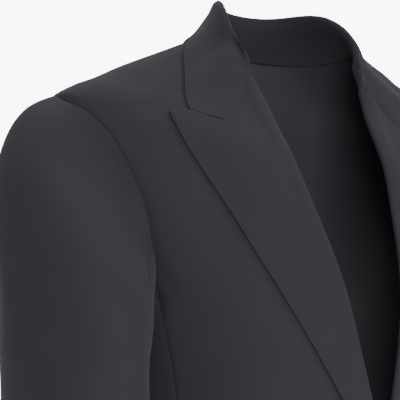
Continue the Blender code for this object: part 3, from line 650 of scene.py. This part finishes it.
def read_knots():
    """Every cloth solid's own rows and columns, read back from its visible side."""
    found = {}
    outward = {}
    for node in sorted(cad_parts):
        kind, side = node_kind(node)
        if kind not in PANELS:
            continue
        spec = panel_spec(node)
        low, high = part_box(node)
        hollow = (0.0, 0.0)
        if spec["form"] == "sleeve":
            other = "sleeve_under_" if kind == "sleeve_top" else "sleeve_top_"
            word = "left" if side == LEFT else "right"
            low_b, high_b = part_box(other + word)
            hollow = ((min(low.x, low_b.x) + max(high.x, high_b.x)) / 2,
                      (min(low.y, low_b.y) + max(high.y, high_b.y)) / 2)
        if spec["form"] == "leg":
            hollow = ((low.x + high.x) / 2, 0.0)
        rows = RIGHT_LAPEL_ROWS if node == "lapel_right" else spec["rows"]
        piece = visible_side(node, hollow, spec["wall"])
        points, facing = grid_points(piece, rows, spec["columns"])
        found[node], outward[node] = ordered(points, facing)
        bpy.data.objects.remove(piece, do_unlink=True)
    return found, outward


def in_slit(node, i, j):
    """Whether a border point lies on the open slit between collar and lapel."""
    kind, _ = node_kind(node)
    last = knots[node].shape[0] - 1
    return j > SLIT_COLUMN and ((kind == "lapel" and i == last) or
                                (kind == "collar" and i in (0, last)))


def close_seams():
    """Brings panels together at their seams; for every border point, what joins it there:
    0 nothing, 1 a panel of its own form, 2 one of another form."""
    borders = []
    for node, points in knots.items():
        rows, columns = points.shape[:2]
        for i in range(rows):
            for j in range(columns):
                if i in (0, rows - 1) or j in (0, columns - 1):
                    borders.append((node, i, j, points[i, j].copy()))
    tree = point_tree([border[3] for border in borders])
    joined = {node: np.zeros(points.shape[:2], int) for node, points in knots.items()}
    for node, i, j, point in borders:
        if in_slit(node, i, j):
            continue
        near = [borders[k] for _, k, _ in tree.find_range(point, SEAM_REACH)]
        near = [other for other in near if not in_slit(*other[:3])]
        others = {other[0] for other in near} - {node}
        if not others:
            continue
        knots[node][i, j] = np.mean([other[3] for other in near], axis=0)
        forms = {panel_spec(other)["form"] for other in others}
        joined[node][i, j] = 1 if forms == {panel_spec(node)["form"]} else 2
    return joined


def seat_stand():
    """Sets the foot of the collar's stand on the inner edge of the neck, all the way round."""
    stretches = []
    for node in ("front_left", "front_right", "back_left", "back_right"):
        inner = knots[node] - unit(outward[node]) * NECK_WALL
        for line in (inner[-1], inner[:, 0]):
            stretches += list(zip(line[:-1], line[1:]))
    first = np.array([stretch[0] for stretch in stretches])
    way = np.array([stretch[1] for stretch in stretches]) - first
    foot = knots["collar"][:, 0]
    for k, point in enumerate(foot):
        share = ((point - first) * way).sum(-1) / (way * way).sum(-1)
        nearest = first + way * np.clip(share, 0.0, 1.0)[:, None]
        gaps = np.linalg.norm(nearest - point, axis=-1)
        if gaps.min() < STAND_REACH:
            foot[k] = nearest[gaps.argmin()]


def border_gaps(points, joined, row_places, column_places, wanted):
    """Distance of every fine point from the nearest border point of a wanted kind."""
    rows = np.clip(np.round(row_places).astype(int), 0, joined.shape[0] - 1)
    columns = np.clip(np.round(column_places).astype(int), 0, joined.shape[1] - 1)
    last_row, last_column = points.shape[0] - 1, points.shape[1] - 1
    chosen = [points[i, j] for i in range(last_row + 1) for j in (0, last_column)
              if joined[rows[i], columns[j]] in wanted]
    chosen += [points[i, j] for i in (0, last_row) for j in range(last_column + 1)
               if joined[rows[i], columns[j]] in wanted]
    gaps = np.full(points.shape[:2], 1.0)
    if not chosen:
        return gaps
    tree = point_tree(chosen)
    for i in range(points.shape[0]):
        for j in range(points.shape[1]):
            gaps[i, j] = tree.find(points[i, j])[2]
    return gaps


def open_slit(points, kind, column_places):
    """Draws the collar's end and the lapel's top back from each other beyond the gorge seam."""
    fade = ease(SLIT_COLUMN, SLIT_COLUMN + SLIT_EASE, column_places)
    ends = [0, -1]
    if kind == "lapel":
        ends = [-1]
        fade = fade * (1 - ease(*SLIT_CLOSE, column_places))
    for end in ends:
        inner = points[SLIT_INNER_ROW] if end == 0 else points[-1 - SLIT_INNER_ROW]
        way = unit(inner - points[end])
        for k, share in enumerate(SLIT_SHARES):
            row = k if end == 0 else -1 - k
            points[row] = points[row] + way * (SLIT_OPEN * share * fade)[:, None]
    return points


def grid_mesh(name, points, normals, gaps):
    """A mesh of the grid, with its cloth lengths as a UV map and its seam distance kept."""
    rows, columns = points.shape[:2]
    index = np.arange(rows * columns).reshape(rows, columns)
    faces = np.stack([index[:-1, :-1], index[:-1, 1:], index[1:, 1:], index[1:, :-1]], -1)
    i, j = rows // 2, columns // 2
    outside = np.cross(points[i, j + 1] - points[i, j], points[i + 1, j] - points[i, j])
    if (outside * normals[i, j]).sum() < 0:
        faces = faces[..., ::-1]
    mesh = bpy.data.meshes.new(name)
    mesh.from_pydata(points.reshape(-1, 3).tolist(), [], faces.reshape(-1, 4).tolist())
    across = along_lengths(points, 1)
    up = along_lengths(points, 0)
    flat_map = np.stack([across - across.mean(axis=1, keepdims=True), up], -1).reshape(-1, 2)
    layer = mesh.uv_layers.new(name="cloth")
    corners = np.zeros(len(mesh.loops), int)
    mesh.loops.foreach_get("vertex_index", corners)
    layer.data.foreach_set("uv", flat_map[corners].ravel())
    # The seam distance, which the cloth materials read for the painted shade along seams
    seam = mesh.attributes.new("seam_gap", "FLOAT", "POINT")
    seam.data.foreach_set("value", gaps.ravel().astype(np.float32))
    return mesh


def seam_allowance(points, normals, painted_shade_gaps):
    """Carries a sleeve's edge on past the armhole seam, under the body's cloth."""
    onward = unit(points[-1] - points[ALLOWANCE_ROW])
    rows = [points]
    for step, depth in ALLOWANCE:
        rows.append((points[-1] + onward * step - normals[-1] * depth)[None])
    painted_shade_gaps = np.concatenate([painted_shade_gaps, np.repeat(painted_shade_gaps[-1:], len(ALLOWANCE), axis=0)])
    return np.concatenate(rows), painted_shade_gaps


def panel_rise(node, form, points, gaps, free, armhole):
    """How far the cloth stands out at each fine point, with its distances from any seam, from
    a free edge and from the armhole seam."""
    kind, side = node_kind(node)
    rise = fold_rise(points, form, side) + soft_rise(points)
    if form == "leg":
        rise = rise + pressed_rise(points, side)
    if node == "waistband":
        rise = rise - UNDER_JACKET
    rise = rise * (1 - np.exp(-(armhole / ARMHOLE_CALM)**2))
    depth = GORGE_DEPTH if kind in SETTLE else SEAM_DEPTH
    rise = rise - depth * np.exp(-(gaps / SEAM_WIDTH)**2)
    rise = rise - (ARMHOLE_DEPTH - depth) * np.exp(-(armhole / SEAM_WIDTH)**2)
    rise = rise + SEAM_DRAW * np.exp(-((gaps - SEAM_SWELL_AT) / SEAM_SPREAD)**2)
    return rise - EDGE_TURN.get(kind, EDGE_TURN_USUAL) * np.exp(-(free / EDGE_TURN_WIDTH)**2)


def give_wall(piece, thickness):
    """Turns the sheet into a wall, with its second material on the inside."""
    only(piece)
    wall = piece.modifiers.new("wall", "SOLIDIFY")
    wall.thickness = thickness
    wall.offset = -1.0
    wall.material_offset = 1
    wall.material_offset_rim = 0
    bpy.ops.object.modifier_apply(modifier=wall.name)
    bpy.ops.object.shade_smooth_by_angle(angle=math.radians(CLOTH_CORNER))


def make_panel(node):
    """One cloth panel: its solid's grid made finer, lifted into folds, and given its wall."""
    kind = node_kind(node)[0]
    spec = panel_spec(node)
    own = knots[node]
    turned = own.transpose(1, 0, 2)
    column_places = edge_places(own, index_places(split_counts(own, spec["spacing"])))
    row_places = edge_places(turned, index_places(split_counts(turned, spec["spacing"])))
    last = len(own) - 1
    cornered = {"lapel": (last,), "collar": (0, last)}.get(kind, ())
    points = finer(own, column_places, cornered)
    points = finer(points.transpose(1, 0, 2), row_places).transpose(1, 0, 2)
    if cornered:
        points = open_slit(points, kind, column_places)
    near = outward[node][np.round(row_places).astype(int)][:, np.round(column_places).astype(int)]
    normals = grid_normals(points, near)
    seams = joined[node]
    gaps = border_gaps(points, seams, row_places, column_places, (1, 2))
    free = border_gaps(points, seams, row_places, column_places, (0,))
    armhole = border_gaps(points, seams, row_places, column_places, (2,))
    rise = panel_rise(node, spec["form"], points, gaps, free, armhole)
    lift = normals
    if kind in SETTLE:
        away = unit((points - NECK_MIDDLE) * LEVEL_PART)
        fallen = ease(TURNED_COLUMN, FALL_COLUMN, column_places)[None, :, None]
        lift = unit(away * (1 - fallen) + normals * fallen)
        rise = rise - SETTLE[kind] * ease(TURNED_COLUMN, float(len(own[0]) - 1), column_places)
    points = points + lift * (rise * (1 - np.exp(-(armhole / ARMHOLE_TOUCH)**2)))[..., None]
    normals = grid_normals(points, near)
    # Seam distances for the painted seam shade; lapel and collar get none
    painted_shade_gaps = np.ones(gaps.shape) if cornered else gaps
    if spec["form"] == "sleeve":
        points, painted_shade_gaps = seam_allowance(points, normals, painted_shade_gaps)
    mesh = grid_mesh(node + "_cloth", points, normals, painted_shade_gaps)
    piece = add_object(node + "_cloth", mesh)
    mesh.materials.append(materials[spec["cloth"]])
    mesh.materials.append(materials[spec["inside"]])
    mesh.shade_smooth()
    give_wall(piece, spec["wall"])
    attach(piece, "root")
    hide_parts(node)
    return piece


# Materials

# Cloths: colour, roughness, pitch and height of the threads, sheen, and how dark the painted
# shade along the seams is
WOVEN_COLUMNS = ("colour", "roughness", "pitch", "bump", "sheen", "sheen_tint", "seam_painted_shade")
DARK_WOOL = (0.040, 0.0385, 0.0475, 1)
COOL_TINT = (0.7, 0.7, 0.8, 1)
WOVENS = {
    "suit_wool": (DARK_WOOL, 0.85, 0.0007, 0.00010, 0.10, COOL_TINT, 0.80),
    "trouser_wool": (DARK_WOOL, 0.85, 0.0007, 0.00010, 0.10, COOL_TINT, 0.80),
    "satin_lining": ((0.075, 0.075, 0.088, 1), 0.38, 0.0006, 0.00004, 0.0, (1, 1, 1, 1), 0.7),
    "collar_felt": ((0.034, 0.033, 0.040, 1), 0.95, 0.0016, 0.00010, 0.1, COOL_TINT, 0.6),
}
# How far from a seam the painted seam shade reaches, from full to none
SEAM_PAINTED_SHADE_FROM = 0.0002
SEAM_PAINTED_SHADE_TO = 0.0014

# The weave: threads to a rib, what each adds to its height, and what makes its tone uneven
THREADS_TO_RIB = 2.1
RIB_HEIGHT = 0.7
THREAD_HEIGHT = 0.3
FIBRE_HEIGHT = 0.8
FIBRE_SCALE = 1400.0
SLUB_SCALE = 26.0
SLUB_TONE = 0.16
FIBRE_TONE = 0.10
GROUND_TONE = 0.87

# Button horn, faintly clouded, and sewing thread, finely twisted: roughness, pattern, two tones
HORN = (0.32, "ShaderNodeTexNoise", {"Scale": 160.0, "Detail": 3.0},
        (0.008, 0.008, 0.010, 1), (0.024, 0.022, 0.022, 1))
TWIST = (0.6, "ShaderNodeTexWave", {"Scale": 900.0, "Distortion": 1.5},
         (0.018, 0.0174, 0.0204, 1), (0.030, 0.029, 0.034, 1))


def new_material(name):
    material = bpy.data.materials.new(name)
    material.use_nodes = True
    return material, material.node_tree, material.node_tree.nodes["Principled BSDF"]


def weave_group():
    """Fine worsted twill: a height for the threads and a slight, uneven tone."""
    group = bpy.data.node_groups.new("worsted_weave", "ShaderNodeTree")
    group.interface.new_socket("Cloth", in_out="INPUT", socket_type="NodeSocketVector")
    group.interface.new_socket("Pitch", in_out="INPUT", socket_type="NodeSocketFloat")
    group.interface.new_socket("Height", in_out="OUTPUT", socket_type="NodeSocketFloat")
    group.interface.new_socket("Tone", in_out="OUTPUT", socket_type="NodeSocketFloat")
    nodes, links = group.nodes, group.links
    into = nodes.new("NodeGroupInput")
    out = nodes.new("NodeGroupOutput")
    parts = nodes.new("ShaderNodeSeparateXYZ")
    links.new(into.outputs["Cloth"], parts.inputs[0])

    def math_node(operation, first, second=None):
        node = nodes.new("ShaderNodeMath")
        node.operation = operation
        for socket, value in zip(node.inputs, (first, second)):
            if value is None:
                continue
            if isinstance(value, (int, float)):
                socket.default_value = value
            else:
                links.new(value, socket)
        return node.outputs[0]

    turn = math_node("DIVIDE", 2 * math.pi, into.outputs["Pitch"])
    diagonal = math_node("ADD", parts.outputs["X"], parts.outputs["Y"])
    rib = math_node("SINE", math_node("MULTIPLY", diagonal, turn))
    thread_turn = math_node("MULTIPLY", turn, THREADS_TO_RIB)
    thread = math_node("SINE", math_node("MULTIPLY", parts.outputs["Y"], thread_turn))
    threads = math_node("ADD", math_node("MULTIPLY", rib, RIB_HEIGHT),
                        math_node("MULTIPLY", thread, THREAD_HEIGHT))
    fibre = nodes.new("ShaderNodeTexNoise")
    fibre.inputs["Scale"].default_value = FIBRE_SCALE
    fibre.inputs["Detail"].default_value = 2.0
    links.new(into.outputs["Cloth"], fibre.inputs["Vector"])
    fibres = math_node("MULTIPLY", fibre.outputs["Fac"], FIBRE_HEIGHT)
    height = math_node("ADD", threads, fibres)
    links.new(height, out.inputs["Height"])
    slub = nodes.new("ShaderNodeTexNoise")
    slub.inputs["Scale"].default_value = SLUB_SCALE
    slub.inputs["Detail"].default_value = 3.0
    links.new(into.outputs["Cloth"], slub.inputs["Vector"])
    tone = math_node("ADD", math_node("MULTIPLY", slub.outputs["Fac"], SLUB_TONE),
                     math_node("MULTIPLY", fibre.outputs["Fac"], FIBRE_TONE))
    links.new(math_node("ADD", tone, GROUND_TONE), out.inputs["Tone"])
    return group


def woven(name):
    """A woven cloth: its weave, its slight unevenness, and painted shade that darkens its colour
    along the seams.
    """
    look = dict(zip(WOVEN_COLUMNS, WOVENS[name]))
    material, tree, shader = new_material(name)
    nodes, links = tree.nodes, tree.links
    shader.inputs["Roughness"].default_value = look["roughness"]
    shader.inputs["Specular IOR Level"].default_value = 0.25
    shader.inputs["Sheen Weight"].default_value = look["sheen"]
    shader.inputs["Sheen Roughness"].default_value = 0.45
    shader.inputs["Sheen Tint"].default_value = look["sheen_tint"]
    cloth = nodes.new("ShaderNodeUVMap")
    cloth.uv_map = "cloth"
    weave = nodes.new("ShaderNodeGroup")
    weave.node_tree = weave_nodes
    weave.inputs["Pitch"].default_value = look["pitch"]
    links.new(cloth.outputs["UV"], weave.inputs["Cloth"])
    # Painted shade: the colour darkens near each seam, standing in for the shade in the seam's
    # valley
    seam = nodes.new("ShaderNodeAttribute")
    seam.attribute_name = "seam_gap"
    near = nodes.new("ShaderNodeMapRange")
    near.inputs["From Min"].default_value = SEAM_PAINTED_SHADE_FROM
    near.inputs["From Max"].default_value = SEAM_PAINTED_SHADE_TO
    near.inputs["To Min"].default_value = look["seam_painted_shade"]
    near.inputs["To Max"].default_value = 1.0
    links.new(seam.outputs["Fac"], near.inputs["Value"])
    shade = nodes.new("ShaderNodeMath")
    shade.operation = "MULTIPLY"
    links.new(weave.outputs["Tone"], shade.inputs[0])
    links.new(near.outputs["Result"], shade.inputs[1])
    tint = nodes.new("ShaderNodeMix")
    tint.data_type = "RGBA"
    tint.blend_type = "MULTIPLY"
    tint.inputs["Factor"].default_value = 1.0
    tint.inputs["A"].default_value = look["colour"]
    links.new(shade.outputs[0], tint.inputs["B"])
    links.new(tint.outputs["Result"], shader.inputs["Base Color"])
    raise_up = nodes.new("ShaderNodeBump")
    raise_up.inputs["Strength"].default_value = 0.35
    raise_up.inputs["Distance"].default_value = look["bump"]
    links.new(weave.outputs["Height"], raise_up.inputs["Height"])
    links.new(raise_up.outputs["Normal"], shader.inputs["Normal"])
    return material


def mottled(name, roughness, pattern_type, settings, dark, light):
    """A plain material whose tone wanders between a dark and a lighter one."""
    material, tree, shader = new_material(name)
    nodes, links = tree.nodes, tree.links
    shader.inputs["Roughness"].default_value = roughness
    place = nodes.new("ShaderNodeTexCoord")
    pattern = nodes.new(pattern_type)
    for setting, value in settings.items():
        pattern.inputs[setting].default_value = value
    links.new(place.outputs["Object"], pattern.inputs["Vector"])
    tones = nodes.new("ShaderNodeValToRGB")
    tones.color_ramp.elements[0].color = dark
    tones.color_ramp.elements[1].color = light
    links.new(pattern.outputs["Fac"], tones.inputs["Fac"])
    links.new(tones.outputs["Color"], shader.inputs["Base Color"])
    return material


# Buttons and buttonholes

# A button of radius 1 and height 1, from the cloth up: its rings' radii and heights, its holes,
# and the thread that comes up through them
BUTTON_START = 0.80
BUTTON_RINGS = (
    (0.94, 0.10), (1.00, 0.35), (1.00, 0.70), (0.95, 0.92), (0.86, 1.00), (0.76, 0.92),
    (0.66, 0.68),
)
BUTTON_SIDES = 48
BUTTON_FLOOR = 0.68
HOLE_PLACE = 0.20
HOLE_RADIUS = 0.085
HOLE_SIDES = 16
DRILL_LENGTH = 3.0
THREAD_RADIUS = 0.050
THREAD_RISE = 0.12
THREAD_DEEP = 0.35
THREAD_BEND = 0.95
THREAD_BEND_DROP = 0.05
THREAD_CROWN = 0.06

# Buttonholes: from their end under the button to the other, in x, half their width, their
# thread, its sides round and across, and the places where it bends with the cloth
BUTTONHOLE_X = (-0.003, 0.021)
BUTTONHOLE_HALF = 0.0011
BUTTONHOLE_THREAD = 0.0007
BUTTONHOLE_ROUND = 24
BUTTONHOLE_ACROSS = 8
BUTTONHOLE_CUTS = 9
IN_FRONT_Y = -1.0


def model_button():
    """A four-hole button of radius 1 and height 1, sewn on with two bars of thread."""
    bpy.ops.object.select_all(action="DESELECT")
    bpy.ops.mesh.primitive_circle_add(vertices=BUTTON_SIDES, radius=BUTTON_START,
                                      fill_type="NGON", location=(0, 0, 0))
    button = bpy.context.object
    button.name = "button_model"
    bpy.ops.object.mode_set(mode="EDIT")
    bpy.ops.mesh.select_all(action="SELECT")
    wide, high = BUTTON_START, 0.0
    for share, rise in BUTTON_RINGS:
        bpy.ops.mesh.extrude_region_move(TRANSFORM_OT_translate={"value": (0, 0, rise - high)})
        bpy.ops.transform.resize(value=(share / wide, share / wide, 1))
        wide, high = share, rise
    bpy.ops.mesh.select_all(action="SELECT")
    bpy.ops.mesh.normals_make_consistent(inside=False)
    bpy.ops.object.mode_set(mode="OBJECT")
    button.data.materials.append(materials["button"])
    for x, y in ((1, 1), (1, -1), (-1, 1), (-1, -1)):
        bpy.ops.object.select_all(action="DESELECT")
        bpy.ops.mesh.primitive_cylinder_add(vertices=HOLE_SIDES, radius=HOLE_RADIUS,
                                            depth=DRILL_LENGTH,
                                            location=(x * HOLE_PLACE, y * HOLE_PLACE, 0.5))
        drill = bpy.context.object
        only(button)
        hole = button.modifiers.new("hole", "BOOLEAN")
        hole.operation = "DIFFERENCE"
        hole.object = drill
        bpy.ops.object.modifier_apply(modifier=hole.name)
        bpy.data.objects.remove(drill, do_unlink=True)
    bars = [thread_bar(side * HOLE_PLACE) for side in (1, -1)]
    only(button)
    for bar in bars:
        bar.select_set(True)
    bpy.ops.object.join()
    bpy.ops.object.shade_smooth_by_angle(angle=math.radians(BUTTON_CORNER))
    return button


def thread_bar(x):
    """Sewing thread that comes up through one hole and goes down through the next."""
    bpy.ops.object.select_all(action="DESELECT")
    bpy.ops.curve.primitive_nurbs_path_add(location=(0, 0, 0))
    bar = bpy.context.object
    low = BUTTON_FLOOR - THREAD_DEEP
    top = BUTTON_FLOOR + THREAD_RISE
    bend = top - THREAD_BEND_DROP
    places = ((-1.0, low), (-THREAD_BEND, bend), (0.0, top + THREAD_CROWN), (THREAD_BEND, bend),
              (1.0, low))
    for point, (along, rise) in zip(bar.data.splines[0].points, places):
        point.co = (x, along * HOLE_PLACE, rise, 1)
    bar.data.bevel_depth = THREAD_RADIUS
    bar.data.bevel_resolution = 2
    bar.data.use_fill_caps = True
    bpy.ops.object.convert(target="MESH")
    bar = bpy.context.object
    bar.data.materials.clear()
    bar.data.materials.append(materials["thread"])
    return bar


def sew_button(node, model):
    """A copy of the button where its solid is, turned and sized as the solid is."""
    points = np.array([vert.co[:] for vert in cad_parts[node].data.vertices], float)
    points = np.unique(points.round(6), axis=0)
    centre = points.mean(axis=0)
    axis = np.linalg.svd(points - centre)[2][-1]
    out = centre * LEVEL_PART
    if "cuff" in node:
        side = LEFT if "_left_" in node else RIGHT
        line = lines["sleeve", side]
        out = centre - np.array([np.interp(centre[2], line[:, 0], line[:, 1]),
                                 np.interp(centre[2], line[:, 0], line[:, 2]), centre[2]])
    if (axis * out).sum() < 0:
        axis = -axis
    rises = (points - centre) @ axis
    foot = centre + axis * rises.min()
    radius = np.linalg.norm(points - centre - rises[:, None] * axis, axis=-1).max()
    height = rises.max() - rises.min()
    turn = Vector(axis).to_track_quat("Z", "Y").to_matrix().to_4x4()
    size = Matrix.Diagonal((radius, radius, height, 1.0))
    mesh = model.data.copy()
    mesh.transform(Matrix.Translation(foot) @ turn @ size)
    button = add_object(node + "_horn", mesh)
    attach(button, "root")
    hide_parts(node)
    return button


def work_buttonhole(name, node, tree):
    """A buttonhole whipped with thread, laid on the front beside its button."""
    low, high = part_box(node)
    level = (low.z + high.z) / 2
    start, end = BUTTONHOLE_X
    bpy.ops.object.select_all(action="DESELECT")
    bpy.ops.mesh.primitive_torus_add(major_radius=BUTTONHOLE_HALF, minor_radius=BUTTONHOLE_THREAD,
                                     major_segments=BUTTONHOLE_ROUND,
                                     minor_segments=BUTTONHOLE_ACROSS, location=(start, 0, 0))
    hole = bpy.context.object
    hole.name = name
    bpy.ops.object.transform_apply(location=True, rotation=False, scale=False)
    bpy.ops.object.mode_set(mode="EDIT")
    bpy.ops.mesh.select_mode(type="VERT")
    bpy.ops.mesh.select_all(action="DESELECT")
    bpy.ops.object.mode_set(mode="OBJECT")
    for vert in hole.data.vertices:
        vert.select = vert.co.x > start + MERGE
    bpy.ops.object.mode_set(mode="EDIT")
    bpy.ops.transform.translate(value=(end - start, 0, 0))
    for k in range(1, BUTTONHOLE_CUTS + 1):
        bpy.ops.mesh.select_all(action="SELECT")
        x = start + (end - start) * k / (BUTTONHOLE_CUTS + 1)
        bpy.ops.mesh.bisect(plane_co=(x, 0, 0), plane_no=(1, 0, 0))
    bpy.ops.object.mode_set(mode="OBJECT")
    for vert in hole.data.vertices:
        x, up, off = vert.co
        ahead = Vector((x, IN_FRONT_Y, level + up))
        place, normal, _, _ = tree.ray_cast(ahead, Vector((0, 1, 0)))
        if normal.y > 0:
            normal = -normal
        vert.co = place + normal * off
    hole.data.materials.append(materials["thread"])
    only(hole)
    bpy.ops.object.mode_set(mode="EDIT")
    bpy.ops.mesh.select_all(action="SELECT")
    bpy.ops.mesh.normals_make_consistent(inside=False)
    bpy.ops.object.mode_set(mode="OBJECT")
    hole.data.shade_smooth()
    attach(hole, "root")


def surface_tree(piece):
    """The piece's surface, for finding where a line meets it."""
    verts = [vert.co.copy() for vert in piece.data.vertices]
    return BVHTree.FromPolygons(verts, [tuple(face.vertices) for face in piece.data.polygons])


# Floor, light and air

FLOOR_Z = -1.500
FLOOR_SIZE = 14.0
FLOOR_WHITE = (0.82, 0.82, 0.83, 1)
FLOOR_GLOW = (2.6, 2.6, 2.7, 1)

# Soft boxes: place, what it is aimed at, size, power
SOFTBOXES = {
    "top_softbox": ((0.3, 0.7, 2.2), (0.0, 0.0, -0.1), (2.0, 1.6), 19.5),
    "front_softbox": ((-1.00, -2.45, -0.30), (0.0, 0.0, -0.35), (0.9, 0.9), 30.0),
    "side_softbox": ((1.7, -2.2, 0.5), (0.0, 0.0, -0.5), (1.1, 1.1), 15.0),
    "back_softbox": ((0.7, 3.0, 0.3), (0.0, 0.0, -0.6), (1.4, 1.4), 26.0),
}
FILL_COLOUR = (0.97, 0.97, 1.0, 1)
FILL_STRENGTH = 0.385
WALL_COLOUR = (0.985, 0.985, 1.0, 1)
WALL_STRENGTH = 9.0


def make_floor():
    bpy.ops.object.select_all(action="DESELECT")
    bpy.ops.mesh.primitive_grid_add(x_subdivisions=2, y_subdivisions=2, size=FLOOR_SIZE,
                                    location=(0, 0, FLOOR_Z))
    floor = bpy.context.object
    floor.name = "studio_floor"
    bpy.ops.object.transform_apply(location=True, rotation=False, scale=False)
    material, tree, shader = new_material("studio_white")
    shader.inputs["Base Color"].default_value = FLOOR_WHITE
    shader.inputs["Roughness"].default_value = 0.9
    shader.inputs["Emission Color"].default_value = FLOOR_GLOW
    seen = tree.nodes.new("ShaderNodeLightPath")
    tree.links.new(seen.outputs["Is Camera Ray"], shader.inputs["Emission Strength"])
    floor.data.materials.append(material)


def make_light(name, place, aim, size, power):
    data = bpy.data.lights.new(name, "AREA")
    data.shape = "RECTANGLE"
    data.size, data.size_y = size
    data.energy = power
    light = add_object(name, data)
    turn = (Vector(aim) - Vector(place)).to_track_quat("-Z", "Y").to_matrix().to_4x4()
    light.matrix_world = Matrix.Translation(place) @ turn


def make_studio():
    make_floor()
    for name, (place, aim, size, power) in SOFTBOXES.items():
        make_light(name, place, aim, size, power)
    world = bpy.data.worlds.new("studio_air")
    world.use_nodes = True
    nodes, links = world.node_tree.nodes, world.node_tree.links
    fill = nodes["Background"]
    fill.inputs["Color"].default_value = FILL_COLOUR
    fill.inputs["Strength"].default_value = FILL_STRENGTH
    wall = nodes.new("ShaderNodeBackground")
    wall.inputs["Color"].default_value = WALL_COLOUR
    wall.inputs["Strength"].default_value = WALL_STRENGTH
    seen = nodes.new("ShaderNodeLightPath")
    both = nodes.new("ShaderNodeMixShader")
    links.new(seen.outputs["Is Camera Ray"], both.inputs["Fac"])
    links.new(fill.outputs["Background"], both.inputs[1])
    links.new(wall.outputs["Background"], both.inputs[2])
    links.new(both.outputs["Shader"], nodes["World Output"].inputs["Surface"])
    bpy.context.scene.world = world


make_camera()
knots, outward = read_knots()
lines = hollow_lines()
joined = close_seams()
seat_stand()
weave_nodes = weave_group()
materials = {
    "button": mottled("button_horn", *HORN),
    "thread": mottled("button_thread", *TWIST),
    "wool": woven("suit_wool"),
    "trouser_wool": woven("trouser_wool"),
    "lining": woven("satin_lining"),
    "under_collar": woven("collar_felt"),
}
cloth = {node: make_panel(node) for node in knots}
button_model = model_button()
for node in sorted(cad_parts):
    if "button" in node:
        sew_button(node, button_model)
bpy.data.objects.remove(button_model, do_unlink=True)
front_tree = surface_tree(cloth["front_left"])
for number in (1, 2):
    work_buttonhole("buttonhole_%d" % number, "front_button_%d" % number, front_tree)
make_studio()
